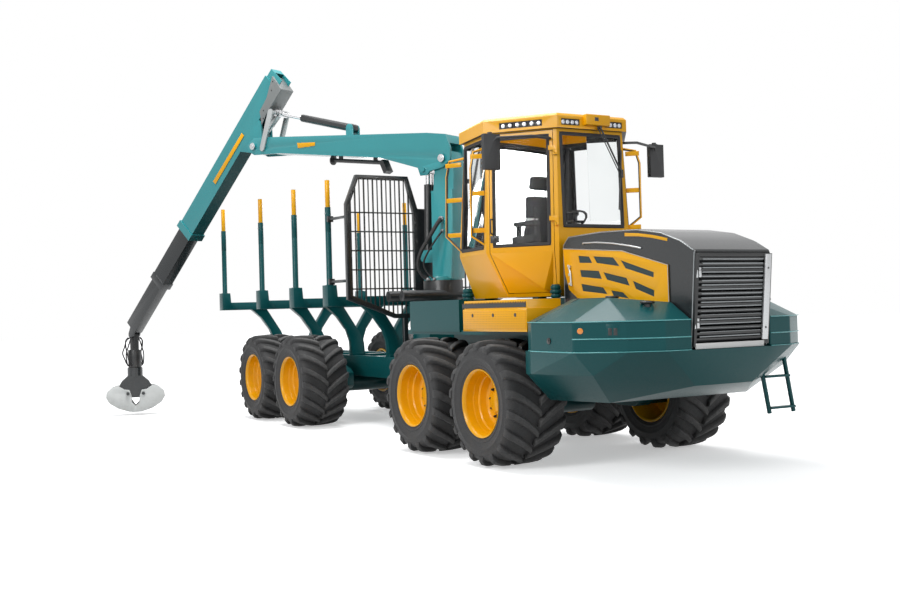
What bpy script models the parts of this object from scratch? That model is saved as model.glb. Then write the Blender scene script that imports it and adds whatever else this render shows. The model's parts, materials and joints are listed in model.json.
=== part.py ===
"""Forestry forwarder with eight wheels: load bunk, crane with grapple, cab and engine hood.

The machine stands along X with its engine end at +X, its left side at +Y and the ground at z = 0.
Everything is in metres. The crane is slewed towards the right rear, as it stands parked.
"""
import math

import bmesh
import bpy
from mathutils import Matrix, Vector

# Running gear
WHEELBASE = 5.30
FRAME_HALF_WIDTH = 0.42
FRAME_TO_BOGIE = 0.08
BOGIE_THICKNESS = 0.21
BOGIE_TO_TYRE = 0.056
BOGIE_SPACING = 1.51
TYRE_RADIUS = 0.664
TYRE_WIDTH = 0.71
CARCASS_RADIUS = 0.615
SHOULDER_RADIUS = 0.636
SHOULDER_CARCASS_RADIUS = 0.575
SHOULDER_INSET = 0.02
LUG_END = 0.028
BEAD_INSET = 0.01
SIDEWALL_RADIUS = 0.50
BEAD_WIDTH = 0.60
RIM_RADIUS = 0.343
RIM_FLANGE_RADIUS = 0.358
RIM_FLANGE_WIDTH = 0.032
RIM_WALL = 0.018
RIM_DISC_THICKNESS = 0.03
RIM_DISC_OFFSET = 0.02
RIM_HUB_RADIUS = 0.13
RIM_HUB_HEIGHT = 0.09
WHEEL_STEPS = 20
LUG_COUNT = 18
LUG_LEAN_DEG = 21.0
HUB_RADIUS = 0.15
BOGIE_LENGTH = 1.86
BOGIE_TOP = 0.97
AXLE_RADIUS = 0.14
AXLE_HEIGHT = 0.552
BOGIE_INNER = FRAME_HALF_WIDTH + FRAME_TO_BOGIE
BOGIE_OUTER = BOGIE_INNER + BOGIE_THICKNESS
TRACK = 2 * (BOGIE_OUTER + BOGIE_TO_TYRE) + TYRE_WIDTH

# Frames
FRAME_BOTTOM = 0.70
REAR_FRAME_TOP = 1.00
REAR_END = -5.35
REAR_NOSE = 0.33
JOINT_X = 0.66
JOINT_RADIUS = 0.17
JOINT_PIN_RADIUS = 0.06
FORK_THICKNESS = 0.07
DECK_ROOM = 0.027
DECK_BOTTOM = 2 * TYRE_RADIUS + DECK_ROOM
FRAME_TO_DECK = 0.135
FRONT_FRAME_TOP = DECK_BOTTOM - FRAME_TO_DECK
FRONT_FRAME_START = 1.00
HULL_ROOM = 0.056
HULL_START = (WHEELBASE + BOGIE_SPACING) / 2 + TYRE_RADIUS + HULL_ROOM
HULL_LAP = 0.175
FRONT_FRAME_END = HULL_START + HULL_LAP
PEDESTAL_BACK = -0.12
PEDESTAL_SET = 0.18
PEDESTAL_HALF_WIDTH = 0.34
PEDESTAL_TOP = 1.70
FRAME_WALL = 0.05

# Fits
TOUCH = 0.0003
PIN_GAP = 0.0005
CLEAR = 0.006
OVERLAP = 0.02
OVERRUN = 0.05

# Load bunk
BOLSTER_XS = (-5.19, -3.37, -1.97, -0.74)
BOLSTER_THICKNESS = 0.14
BEAM_BOTTOM = 1.73
BEAM_TOP = 1.86
STAKE_Y = 1.28
STAKE_RADIUS = 0.042
STAKE_TIP_RADIUS = 0.032
STAKE_SLEEVE_TOP = 2.76
STAKE_TOP = 3.46
SOCKET_RADIUS = 0.07
SOCKET_TOP = 2.02
LEG_FOOT_Y = 0.40
LEG_HEAD_Y = 0.70
LEG_WIDTH = 0.16

# Headboard
HEADBOARD_X = -0.225
HEADBOARD_HALF_WIDTH = 1.26
HEADBOARD_SHOULDER_Y = 1.10
ROOT_PIN = (-0.16, 3.67)
HEADBOARD_TO_BOOM = 0.19
HEADBOARD_TOP = ROOT_PIN[1] - HEADBOARD_TO_BOOM
HEADBOARD_CORNER_DROP = 0.39
HEADBOARD_CORNER = HEADBOARD_TOP - HEADBOARD_CORNER_DROP
HEADBOARD_NOTCH_Y = 0.18
HEADBOARD_NOTCH_TOP_Y = 0.32
HEADBOARD_NOTCH_DEPTH = 0.44
HEADBOARD_NOTCH = HEADBOARD_TOP - HEADBOARD_NOTCH_DEPTH
HEADBOARD_SIDE_BOTTOM = 1.81
HEADBOARD_BOTTOM = 1.545
HEADBOARD_BOTTOM_Y = 0.55
HEADBOARD_TUBE = 0.03
GRILLE_BAR = 0.009
GRILLE_PITCH = 0.134
GRILLE_ROWS = 5
BRACE_HEIGHTS = (2.92, 2.065)
BRACE_RADIUS = 0.02
CLAMP_HALF = 0.04
CLAMP_DEPTH = 0.045

# Slewing base
SLEW_X = 0.15
SLEW_BASE_TOP = 2.04
SLEW_HOUSING_RADIUS = 0.27
SLEW_CYLINDER_RADIUS = 0.072
SLEW_CYLINDER_HALF_LENGTH = 0.74
SLEW_CYLINDER_Z = 1.84
SLEW_CYLINDER_OFFSET = 0.20

# Deck, tanks, steps and hull of the front part
DECK_THICKNESS = 0.05
DECK_TOP = DECK_BOTTOM + DECK_THICKNESS
DECK_START = 1.00
DECK_LAP = 0.025
DECK_END = HULL_START + DECK_LAP
DECK_HALF_WIDTH = 1.00
DECK_GAP = 0.02
CAB_LIFT = 0.355
CAB_MOUNT = 0.11
REAR_BOX_START = 1.10
REAR_BOX_END = 2.30
REAR_BOX_INNER = 0.56
REAR_BOX_OUTER = 1.02
REAR_BOX_GAP = 0.005
REAR_BOX_TOP = DECK_TOP + CAB_LIFT - REAR_BOX_GAP
HOOD_HALF_WIDTH = 0.47
HULL_DEPTH = 0.50
HULL_BOTTOM = FRONT_FRAME_TOP - HULL_DEPTH
HULL_RIM = FRONT_FRAME_TOP
HULL_LENGTH = 1.475
HULL_END = HULL_START + HULL_LENGTH
HULL_HALF_WIDTH = 1.40
HULL_CHINE_DEPTH = 0.22
HULL_CHINE = HULL_RIM - HULL_CHINE_DEPTH
HULL_BOW_DEPTH = 0.34
HULL_BOW_HEIGHT = HULL_RIM - HULL_BOW_DEPTH
TANK_SIDE = 0.28
TANK_RIM = HULL_RIM + TANK_SIDE
TANK_RISE = 0.22
TANK_TOP = TANK_RIM + TANK_RISE
TANK_NOSE_DROP = 0.06
TANK_NOSE_TOP = TANK_TOP - TANK_NOSE_DROP
TANK_TO_HOOD = 0.02
TANK_INNER = HOOD_HALF_WIDTH + TANK_TO_HOOD
STEP_TO_HULL = 0.025
STEP_END = HULL_START - STEP_TO_HULL
STEP_LENGTH = 1.24
STEP_START = STEP_END - STEP_LENGTH
STEP_OUTER = 1.30
STEP_HEIGHT = 0.235
STEP_SHELF = DECK_TOP + STEP_HEIGHT
STEP_TREAD = 0.09
STEP_TOP = STEP_SHELF + STEP_TREAD
STEP_INNER = 0.86
LADDER_TO_BOW = 0.30
LADDER_X = HULL_END - LADDER_TO_BOW
LADDER_Y = 0.74
LADDER_WIDTH = 0.33
LADDER_TOP = 1.20
LADDER_BOTTOM = 0.54
LADDER_LEAN = 0.25
LADDER_TUBE = 0.022

# Hood
HOOD_WALL = 0.03
HOOD_REACH = 0.525
HOOD_BACK = HULL_START - HOOD_REACH
HOOD_BOTTOM = HULL_RIM + TOUCH
HOOD_NOSE = 0.03
HOOD_FRONT_TOP_X = HULL_END + HOOD_NOSE
HOOD_RAKE = 0.085
HOOD_FRONT_BOTTOM_X = HOOD_FRONT_TOP_X - HOOD_RAKE
HOOD_HEIGHT = 1.1767
HOOD_BACK_DROP = 0.097
HOOD_FRONT_DROP = 0.267
HOOD_CROWN = HOOD_BOTTOM + HOOD_HEIGHT
HOOD_FRONT_TOP = HOOD_CROWN - HOOD_FRONT_DROP
HOOD_BACK_TOP = HOOD_CROWN - HOOD_BACK_DROP
PANEL_BACK_SET = 0.01
PANEL_FRONT_SET = 0.358
PANEL_DROP = 0.132
PANEL_START = HOOD_BACK + PANEL_BACK_SET
PANEL_LENGTH = HOOD_FRONT_TOP_X - PANEL_FRONT_SET - PANEL_START
PANEL_FOOT = 0.2797
PANEL_LOW = HOOD_BOTTOM + PANEL_FOOT
PANEL_HEIGHT = HOOD_CROWN - PANEL_DROP - PANEL_LOW
PANEL_THICKNESS = 0.012
GRILLE_THICKNESS = 0.03
GRILLE_MARGIN = 0.03
GRILLE_LOUVRES = 15
LOUVRE_DEPTH = 0.018
ENGINE_TO_HULL = 0.175
ENGINE_START = HULL_START - ENGINE_TO_HULL
ENGINE_LENGTH = 1.15
ENGINE_END = ENGINE_START + ENGINE_LENGTH
ENGINE_HALF_WIDTH = 0.30
ENGINE_HEADROOM = 0.377
ENGINE_TOP = HOOD_CROWN - ENGINE_HEADROOM

# Cab: plan corners on the right side, at the floor, the sill and the top of the windows
CAB_TO_HOOD = 0.06
CAB_LENGTH = 1.46
CAB_BACK = HOOD_BACK - CAB_TO_HOOD - CAB_LENGTH
CAB_HALF_WIDTH = 1.00
CAB_FLOOR = DECK_TOP + CAB_LIFT
CAB_RISE = 1.84
CAB_TOP = CAB_FLOOR + CAB_RISE
SILL_RISE = 0.49
CAB_SILL = CAB_FLOOR + SILL_RISE
GLASS_DROP = 0.07
CAB_WINDOW_TOP = CAB_TOP - GLASS_DROP
WINDSCREEN_RISE = 0.25
SIDE_GLASS_RISE = 0.11
REAR_GLASS_RISE = 0.05
DOOR_GLASS_RISE = 0.06
CAB_WALL = 0.06
ROOF_RISE = 0.13
ROOF_LAP = 0.03
ROOF_TOP = CAB_TOP + ROOF_RISE
ROOF_BOTTOM = CAB_TOP - ROOF_LAP
ROOF_OVERHANG = 0.05
LAMP_RECESS = 0.03
GLASS_DEPTH = 0.020
GLASS_THICKNESS = 0.010
DOOR_GAP = 0.006
SEAT_WIDTH = 0.50

# Crane, in its own plane: reach from the slewing axis, sideways, height
CRANE_HEADING_DEG = 204.1
ELBOW_PIN = (3.40, 4.21)
LIFT_FOOT = (0.19, 2.37)
LIFT_HEAD = (0.16, 3.55)
STICK_CYLINDER_FOOT = (1.54, 4.29)
LINK_PIN = (3.01, 4.69)
LINK_A_FOOT = (3.20, 4.16)
LINK_B_FOOT = (3.35, 4.40)
STICK_BACK = (3.16, 5.27)
STICK_FRONT = (5.225, 3.11)
TIP_PIN = (6.56, 1.36)
CRANE_PIN_RADIUS = 0.035
BOOM_REACH = ELBOW_PIN[0] - ROOT_PIN[0]
STICK_REACH = TIP_PIN[0] - ELBOW_PIN[0]

BODY = "forestry_forwarder"


def spread(shares, size, origin=(0.0, 0.0)):
    """Places from shares of a size, counted from an origin."""
    return tuple(tuple(start + size * share for start, share in zip(origin, row)) for row in shares)


# Working values
WELD = 0.00001
SMOOTH_DEG = 35.0
HULL_FLAT_DEG = 0.5
PIVOT_HEIGHT = 0.96
FRONT_PIVOT_HEIGHT = 0.30
NOSE_SHARE = 0.72
HUB_TOP_SHARE = 0.85
WHEEL_XS = (-WHEELBASE / 2 - BOGIE_SPACING / 2, -WHEELBASE / 2 + BOGIE_SPACING / 2,
            WHEELBASE / 2 - BOGIE_SPACING / 2, WHEELBASE / 2 + BOGIE_SPACING / 2)

# A lug's top and foot as shares of the pitch
LUG_TOP_SHARE = 0.28
LUG_FOOT_SHARE = 0.46

# A bogie box from the side: share of its half length, share of its height
BOGIE_SHARES = ((-1.0, 0.12), (-0.92, 0.0), (-0.62, 0.0), (-0.25, 0.18), (0.25, 0.18), (0.62, 0.0), (0.92, 0.0),
                (1.0, 0.12), (1.0, 0.52), (0.9, 0.64), (0.28, 1.0), (-0.28, 1.0), (-0.9, 0.64), (-1.0, 0.52))

# Where the rear frame's cross walls stand, as shares of its length from its end
BAY_SHARES = (0.0, 0.22773, 0.44554, 0.62376, 0.82178, 1.0)
BAY_XS = tuple(REAR_END + (PEDESTAL_BACK - PEDESTAL_SET - REAR_END) * share for share in BAY_SHARES)

# Bolster: a leg's outline as shares of its head's place and of its height,
# and a socket's outline as shares of its radius and height
BOLSTER_INSET = 0.02
BOLSTER_FOOT = 0.03
LEG_SHARES = ((0.30, 0.0), (0.60, 0.0), (0.62, 0.28), (0.70, 0.50), (0.92, 0.78), (1.20, 1.0), (0.80, 1.0),
              (0.62, 0.74), (0.42, 0.45), (0.32, 0.25))
SOCKET_SHARES = ((1.9, 0.0), (-1.0, 0.0), (-1.0, 1.0), (0.9, 1.0), (1.1, 0.45), (2.6, 0.12))
HEADBOARD_FOOT_Y = 0.40
ROW_SHARE = 0.45

# Cab mounts: shares of the cab's length and half width
CAB_MOUNT_SHARES = ((0.15068, 0.58), (0.76712, 0.52))
CAB_MOUNT_PLACES = tuple((CAB_BACK + CAB_LENGTH * x, CAB_HALF_WIDTH * y) for x, y in CAB_MOUNT_SHARES)

# Hull corners on the left: shares of its length and half width, then the height
HULL_CORNER_SHARES = ((0.0, 0.75714, HULL_BOTTOM), (0.49153, 0.62857, HULL_BOTTOM),
                      (0.11864, 1, HULL_CHINE), (0.0, 0.95714, HULL_CHINE), (0.0, 0.95714, HULL_RIM),
                      (0.11864, 1, HULL_RIM), (0.59322, 1, HULL_RIM), (0.86441, 0.77143, HULL_RIM),
                      (0.98644, 0.55714, HULL_RIM), (1, 0.33571, HULL_RIM),
                      (0.90508, 0.25714, HULL_BOW_HEIGHT), (0.62712, 0.87143, HULL_CHINE))
HULL_CORNERS = tuple((HULL_START + HULL_LENGTH * x, HULL_HALF_WIDTH * y, z)
                     for x, y, z in HULL_CORNER_SHARES)

# Tank corners on the left: shares of the hull's length and of the tank's width, then the height
TANK_WIDTH = HULL_HALF_WIDTH - TANK_INNER
TANK_RIM_SHARES = ((0.02373, 0.0), (0.02373, 0.92308), (0.1322, 1), (0.59322, 1), (0.85085, 0.64835),
                   (0.97288, 0.31868), (0.98644, 0.0))
TANK_TOP_SHARES = ((0.11864, 0.0, TANK_TOP), (0.15932, 0.47253, TANK_TOP), (0.33559, 0.58242, TANK_TOP),
                   (0.55932, 0.50549, TANK_TOP), (0.74237, 0.25275, TANK_NOSE_TOP),
                   (0.81017, 0.0, TANK_NOSE_TOP))
TANK_CORNER_SHARES = tuple((x, y, z) for z in (HULL_RIM + TOUCH, TANK_RIM)
                           for x, y in TANK_RIM_SHARES) + TANK_TOP_SHARES
TANK_CORNERS = tuple((HULL_START + HULL_LENGTH * x, TANK_INNER + TANK_WIDTH * y, z)
                     for x, y, z in TANK_CORNER_SHARES)

STEP_WALL = 0.012
STEP_SLOTS = 3
STEP_SLOT_SHARE = 0.40
STEP_SLOT_LOW = 0.07
STEP_SLOT_HIGH = 0.17
LADDER_RUNG_SHARES = (0.08, 0.55)

# The hood's top line from the back: shares of its length and of its crown's rise
HOOD_LINE_SHARES = ((0.0, 0.0), (0.04926, 0.87629), (0.3202, 1), (0.60099, 0.82474), (0.7734, 0.25773),
                    (0.9064, -0.71134))
HOOD_LENGTH = HOOD_FRONT_TOP_X - HOOD_BACK
HOOD_SWELL = HOOD_CROWN - HOOD_BACK_TOP
HOOD_TOP_LINE = tuple((HOOD_BACK + HOOD_LENGTH * x, HOOD_BACK_TOP + HOOD_SWELL * z)
                      for x, z in HOOD_LINE_SHARES) + ((HOOD_FRONT_TOP_X, HOOD_FRONT_TOP),)
GRILLE_LOW = HOOD_BOTTOM + GRILLE_MARGIN - TOUCH
GRILLE_HIGH = HOOD_FRONT_TOP - GRILLE_MARGIN
LOUVRE_SHARES = ((0.0, -0.42), (0.25, -0.42), (1.4, 0.10), (1.4, 0.34), (1.15, 0.34), (0.0, -0.15))

# The hood's side panel and its slots: shares of the panel's length and height
PANEL_SHARES = ((0.000, 0.996), (0.594, 0.894), (0.997, 0.669), (1.000, 0.000), (0.167, 0.261),
                (0.054, 0.418), (0.012, 0.654))
PANEL_SLOT_SHARES = (((0.161, 0.877), (0.271, 0.852), (0.301, 0.765), (0.171, 0.778)),
                     ((0.313, 0.851), (0.509, 0.813), (0.567, 0.694), (0.347, 0.759)),
                     ((0.579, 0.770), (0.876, 0.588), (0.874, 0.522), (0.622, 0.661)),
                     ((0.175, 0.681), (0.365, 0.651), (0.394, 0.542), (0.185, 0.587)),
                     ((0.410, 0.629), (0.630, 0.535), (0.658, 0.434), (0.443, 0.527)),
                     ((0.687, 0.495), (0.875, 0.363), (0.874, 0.281), (0.712, 0.391)),
                     ((0.184, 0.492), (0.406, 0.427), (0.443, 0.339), (0.197, 0.392)),
                     ((0.480, 0.387), (0.592, 0.353), (0.649, 0.269), (0.502, 0.311)))

# Cab levels: height, then x and y of the front, side and back corners
CAB_LEVEL_SHARES = ((CAB_FLOOR, 0.95205, 0.44, 0.59589, 0.76, 0.0411, 0.7),
                    (CAB_SILL, 1, 0.48, 0.55479, 1, 0.0, 0.86),
                    (CAB_TOP, 0.9726, 0.445, 0.53425, 0.93, 0.0274, 0.78))
CAB_LEVELS = tuple((height,) + tuple(CAB_HALF_WIDTH * share if i % 2 else CAB_BACK + CAB_LENGTH * share
                                     for i, share in enumerate(shares))
                   for height, *shares in CAB_LEVEL_SHARES)


def on_cab(shares):
    """Places from shares of the cab's length, its half width and its height above the sill."""
    return tuple((CAB_BACK + CAB_LENGTH * x, CAB_HALF_WIDTH * y, CAB_SILL + (CAB_TOP - CAB_SILL) * z)
                 for x, y, z in shares)


FACE_REACH = 0.34
ROOF_CROWN = 0.03
LAMP_RIM = 0.03

# Windows: face number from the front round to the left, space at its start and at its end, low and high edges
SIDE_GLASS_LOW = CAB_SILL + SIDE_GLASS_RISE
CAB_WINDOWS = ((0, 0.07, 0.07, CAB_SILL + WINDSCREEN_RISE, CAB_WINDOW_TOP),
               (1, 0.10, 0.0624, SIDE_GLASS_LOW, CAB_WINDOW_TOP),
               (2, 0.07, 0.072, SIDE_GLASS_LOW, CAB_WINDOW_TOP),
               (3, 0.08, 0.08, SIDE_GLASS_LOW, CAB_WINDOW_TOP),
               (4, 0.07, 0.072, CAB_SILL + REAR_GLASS_RISE, CAB_WINDOW_TOP))
DOOR_FACE = 5
DOOR_PIN_OUT = 0.020
DOOR_HINGE_SET = (0.27, 0.25)
DOOR_HINGES = (CAB_SILL + DOOR_HINGE_SET[0], CAB_WINDOW_TOP - DOOR_HINGE_SET[1])
KNUCKLE_RADIUS = 0.014
KNUCKLE_LENGTH = 0.05
SHELL_LEAF = 0.04
DOOR_LEAF = 0.105
LEAF_DEPTH = 0.035
DOOR_HINGE_X = 0.05
DOOR_LATCH_SET = 0.0424
DOOR_EDGE_SET = 0.04
DOOR_BOTTOM = CAB_FLOOR + DOOR_EDGE_SET
DOOR_TOP = CAB_TOP - DOOR_EDGE_SET
DOOR_FOOT_SET = 0.16
DOOR_FRAME = 0.045
DOOR_WINDOW_LOW = CAB_SILL + DOOR_GLASS_RISE
DOOR_THICKNESS = 0.055
GLASS_KEEP_SHARES = ((-0.12329, -1.2), (0.52055, -1.2), (0.52055, 0.0), (0.94521, 0.0), (0.94521, 1.2),
                     (-0.12329, 1.2))
GLASS_KEEP = tuple((CAB_BACK + CAB_LENGTH * x, CAB_HALF_WIDTH * y) for x, y in GLASS_KEEP_SHARES)
GLASS_LOW = CAB_SILL + REAR_GLASS_RISE
GLASS_HIGH = CAB_WINDOW_TOP + OVERLAP

# Lamp recesses in the roof's edge: face, start and end as shares of it
ROOF_LAMP_SHARES = ((0, 0.06, 0.32), (0, 0.68, 0.94), (5, 0.22, 0.80), (1, 0.20, 0.78), (3, 0.08, 0.30),
                    (3, 0.70, 0.92))

# Grab rails on the cab
RAIL_RADIUS = 0.016
CAB_RAIL_SHARES = (((0.0411, -0.8, 0.85185), (-0.07534, -0.9, 0.83703), (-0.10274, -0.92, 0.70371),
                    (-0.10274, -0.94, 0.18518), (0.0274, -0.86, 0.05185)),
                   ((0.49315, -0.93, 0.86666), (0.46575, -1.05, 0.83703), (0.45205, -1.08, 0.70371),
                    (0.46575, -1.1, 0.14815), (0.52055, -0.96, 0.06667)),
                   ((0.94521, 0.48, 0.84445), (1.0137, 0.58, 0.82223), (1.0411, 0.6, 0.71852),
                    (1.0411, 0.6, 0.27407), (0.9589, 0.5, 0.18518)))
CAB_RAILS = tuple(on_cab(row) for row in CAB_RAIL_SHARES)

# Mirror: arm points and head
MIRROR_ARM_SHARES = ((0.9274, 0.477, 0.89629), (0.95205, 0.525, 0.89629), (0.91781, 0.72, 0.91111),
                     (0.83562, 1.08, 0.89629), (0.80479, 1.129, 0.85185), (0.80479, 1.129, 0.70371))
MIRROR_ARM = on_cab(MIRROR_ARM_SHARES)
MIRROR_CENTRE_SHARES = ((0.80479, 1.129, 0.78518),)
MIRROR_CENTRE = on_cab(MIRROR_CENTRE_SHARES)[0]
MIRROR_WIDTH = 0.20
MIRROR_HEIGHT = 0.38
MIRROR_DEPTH = 0.06

def by_seat(shares):
    """Places from shares of the cab's length, the seat's half width and its height above the mat."""
    return tuple((CAB_BACK + CAB_LENGTH * x, SEAT_WIDTH / 2 * y, SEAT_FLOOR + SEAT_RISE * z)
                 for x, y, z in shares)


# Inside the cab: boxes from and to, as shares of the cab's length, the seat's half width and the seat's height
FLOOR_MAT = 0.02
SEAT_RISE = 1.4097
SEAT_FLOOR = CAB_FLOOR + CAB_WALL + TOUCH + FLOOR_MAT / 2
INTERIOR_BLOCK_SHARES = ((0.26027, 0.56164, -0.68, 0.68, 0.0, 0.24807),
                         (0.23288, 0.60274, -1.12, 1.12, 0.23388, 0.29751),
                         (0.30137, 0.57534, -1.6, -1.08, 0.40413, 0.46087),
                         (0.30137, 0.57534, 1.08, 1.6, 0.40413, 0.46087),
                         (0.32192, 0.39041, -1.6, -1.04, 0.24098, 0.43251),
                         (0.32192, 0.39041, 1.04, 1.6, 0.24098, 0.43251),
                         (0.53425, 0.56164, -1.4, -1.24, 0.44668, 0.53181),
                         (0.53425, 0.56164, 1.24, 1.4, 0.44668, 0.53181),
                         (0.76712, 0.89041, -1.12, 1.12, 0.0, 0.41832))
STEERING_COLUMN_SHARES = ((0.83562, 0.0, 0.38995), (0.72603, 0.0, 0.56019))
COLUMN_FOOT, COLUMN_HEAD = by_seat(STEERING_COLUMN_SHARES)
COLUMN_RADIUS = 0.035
WHEEL_RIM_RADIUS = 0.17
WHEEL_RIM_TUBE = 0.014
SEAT_CUSHION_SHARES = ((0.26027, 0.29772), (0.60274, 0.29772), (0.63014, 0.34028), (0.60959, 0.38285),
                       (0.36986, 0.37576), (0.26027, 0.38995))
SEAT_CUSHION = tuple((CAB_BACK + CAB_LENGTH * x, SEAT_FLOOR + SEAT_RISE * z) for x, z in SEAT_CUSHION_SHARES)
SEAT_BACK_SHARES = ((0.24658, 0.39015), (0.35616, 0.39015), (0.32877, 0.56019), (0.27397, 0.82975),
                    (0.26712, 1), (0.20548, 1), (0.19863, 0.81556))
SEAT_BACK = tuple((CAB_BACK + CAB_LENGTH * x, SEAT_FLOOR + SEAT_RISE * z) for x, z in SEAT_BACK_SHARES)

# Crane: half widths and sizes across it
COLUMN_FLANGE = 0.05
COLUMN_FLANGE_RADIUS = 0.26
COLUMN_HALF = 0.15
BOOM_SLOT_HALF = 0.126
COLUMN_HEAD_HALF = BOOM_SLOT_HALF - CLEAR
COLUMN_OUTLINE_SHARES = ((-0.06812, 0.56131), (0.01635, 0.56131), (0.01362, 0.88556),
                         (-0.08174, 0.88556), (-0.07902, 0.70845))
COLUMN_OUTLINE = spread(COLUMN_OUTLINE_SHARES, ROOT_PIN[1])
COLUMN_HEAD_OUTLINE_SHARES = ((-0.08174, 0.87193), (0.0109, 0.87193), (0.0, 0.9673),
                              (-0.01362, 1.02452), (-0.0436, 1.03542), (-0.07357, 1.02452),
                              (-0.08447, 0.98093))
COLUMN_HEAD_OUTLINE = spread(COLUMN_HEAD_OUTLINE_SHARES, ROOT_PIN[1])
LIFT_EAR_RADIUS = 0.085
LIFT_CROSS_HALF = 0.118
EAR_THICKNESS = 0.025
EAR_RADIUS = 0.06
EAR_DROP = 0.12
PIN_HEAD = 0.03
BARREL_RADIUS = 0.055
BARREL_FOOT_RADIUS = 0.061
BARREL_START = 0.012
ROD_RADIUS = 0.032
ROD_HEAD_RADIUS = 0.05
LIFT_ROWS = (-0.062, 0.062)
LIFT_BARREL_LENGTH = 0.98
LIFT_ROD_REACH = 0.96
BOOM_CHEEK = 0.034
BOOM_HALF = BOOM_SLOT_HALF + BOOM_CHEEK
BOOM_OUTLINE_SHARES = ((-0.03371, -0.00843), (0.0, -0.03371), (0.0618, -0.04213), (0.07303, -0.05618),
                       (0.10674, -0.05618), (0.11798, -0.02528), (0.30618, 0.03371), (0.8427, 0.10674),
                       (1, 0.11517), (1.03371, 0.13483), (1.03652, 0.16292), (1, 0.1882),
                       (0.91573, 0.18258), (0.07022, 0.10393), (-0.01545, 0.08989), (-0.03652, 0.03652))
BOOM_OUTLINE = spread(BOOM_OUTLINE_SHARES, BOOM_REACH, ROOT_PIN)
BOOM_ROOT_SLOT_SHARES = ((-0.06742, -0.10393), (0.13483, -0.10393), (0.13483, -0.00281),
                         (0.05056, 0.05618), (-0.06742, 0.05618))
BOOM_ROOT_SLOT = spread(BOOM_ROOT_SLOT_SHARES, BOOM_REACH, ROOT_PIN)
BOOM_TIP_SLOT_SHARES = ((0.88202, 0.06461), (1.08427, 0.06461), (1.08427, 0.23315), (0.88202, 0.23315))
BOOM_TIP_SLOT = spread(BOOM_TIP_SLOT_SHARES, BOOM_REACH, ROOT_PIN)
BOOM_BELLY = 6
BAR_START = 0.97
BAR_END = 1.94
BAR_DROP = 0.06
BAR_RADIUS = 0.03
BAR_HANGER_SET = 0.16
DISC_RADIUS = 0.07
LAMP_DEPTH = 0.07
LAMP_HALF = 0.07
LAMP_HEIGHT = 0.16
LAMP_TILT_DEG = 25.0
STICK_CROSS_HALF = 0.060
STICK_ROWS = (0.0,)
STICK_BARREL_LENGTH = 1.02
STICK_ROD_REACH = 1.12
STICK_CYLINDER_HEAD_HALF = 0.075
ROD_FORK_HALF = 0.042
FORK_GAP = 0.03
LINK_HALF = 0.045
LINK_SHAFT_RADIUS = 0.03
STICK_LOW = 0.219
STICK_DEPTH = 0.34
STICK_HALF = BOOM_SLOT_HALF - CLEAR
STICK_WALL = 0.02
STICK_TAIL = -0.932
STICK_NOSE = 2.056
STICK_EAR_HALF = 0.09
STICK_SLOT_DROP = 0.30
STICK_SLOT_DEPTH = 0.22
LINK_SLOT_END = -0.12
STICK_BRACKET_SHARES = ((-0.04114, 0.04747), (-0.02848, -0.01266), (-0.01899, -0.02848),
                        (0.0, -0.03481), (0.01899, -0.02848), (0.10759, -0.01266), (0.13924, 0.00316),
                        (0.0, 0.14873), (-0.03797, 0.11709))
STICK_BRACKET = spread(STICK_BRACKET_SHARES, STICK_REACH, ELBOW_PIN)
COLLAR = 0.12
COLLAR_RIM = 0.02
COVER = 0.14
EXTENSION_1_TAIL = 0.882
EXTENSION_1_NOSE = 3.142
EXTENSION_2_TAIL = 1.92
EXTENSION_2_NOSE = 4.15
TIP_HALF = 0.05
TIP_LINK_WIDTH = 0.055
LINK_DROP = 0.26
ROTATOR_RADIUS = 0.11
ROTATOR_BOTTOM = 0.80
FLANGE_SHARE = 1.15
GRAPPLE_TOP = 0.664
GRAPPLE_HEADING_DEG = 76.1
GRAPPLE_BODY_HALF = 0.118
GRAPPLE_DOME_SHARES = ((-0.3991, 0.70783), (0.3991, 0.70783), (0.3991, 0.75301), (0.33133, 0.86596),
                       (0.18072, 1), (-0.18072, 1), (-0.33133, 0.86596), (-0.3991, 0.75301))
GRAPPLE_DOME = spread(GRAPPLE_DOME_SHARES, GRAPPLE_TOP)
GRAPPLE_BODY_SHARES = ((-0.24096, 0.45181), (0.24096, 0.45181), (0.33133, 0.73795), (-0.33133, 0.73795))
GRAPPLE_BODY = spread(GRAPPLE_BODY_SHARES, GRAPPLE_TOP)
CLAW_PIVOT = (0.125, 0.37)
CLAW_PIN_RADIUS = 0.025
CLAW_PLATE = 0.02
CLAW_OUTER_FACE = 0.186
CLAW_INNER_FACE = 0.146
CLAW_OUTLINE_SHARES = ((0.42169, 0.76054), (0.57229, 0.71536), (0.70783, 0.58735), (0.72289, 0.46687),
                       (0.63253, 0.31627), (0.42169, 0.18072), (0.1506, 0.09488), (-0.10542, 0.08735),
                       (-0.03012, 0.21084), (0.09036, 0.33133), (0.10542, 0.51205), (0.1506, 0.64759),
                       (0.27108, 0.66265))
CLAW_OUTLINE = spread(CLAW_OUTLINE_SHARES, GRAPPLE_TOP)
CLAW_PAN_FIRST = 1
CLAW_PAN_LAST = 7
CLAW_PAN_SHARE = 0.90
CLAW_RIM_SHARE = 0.985


# Colours: red, green, blue, roughness, metallic
PAINTS = {
    "teal": (0.010, 0.120, 0.115, 0.35, 0.0),
    "crane_teal": (0.015, 0.260, 0.240, 0.35, 0.0),
    "yellow": (0.900, 0.560, 0.010, 0.35, 0.0),
    "charcoal": (0.022, 0.025, 0.027, 0.45, 0.0),
    "black": (0.012, 0.012, 0.013, 0.50, 0.0),
    "rubber": (0.020, 0.020, 0.021, 0.85, 0.0),
    "steel": (0.550, 0.550, 0.560, 0.25, 1.0),
    "claw": (0.780, 0.790, 0.780, 0.40, 0.0),
    "glass": (0.600, 0.650, 0.650, 0.05, 0.0),
    "cloth": (0.030, 0.030, 0.033, 0.90, 0.0),
}


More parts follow.
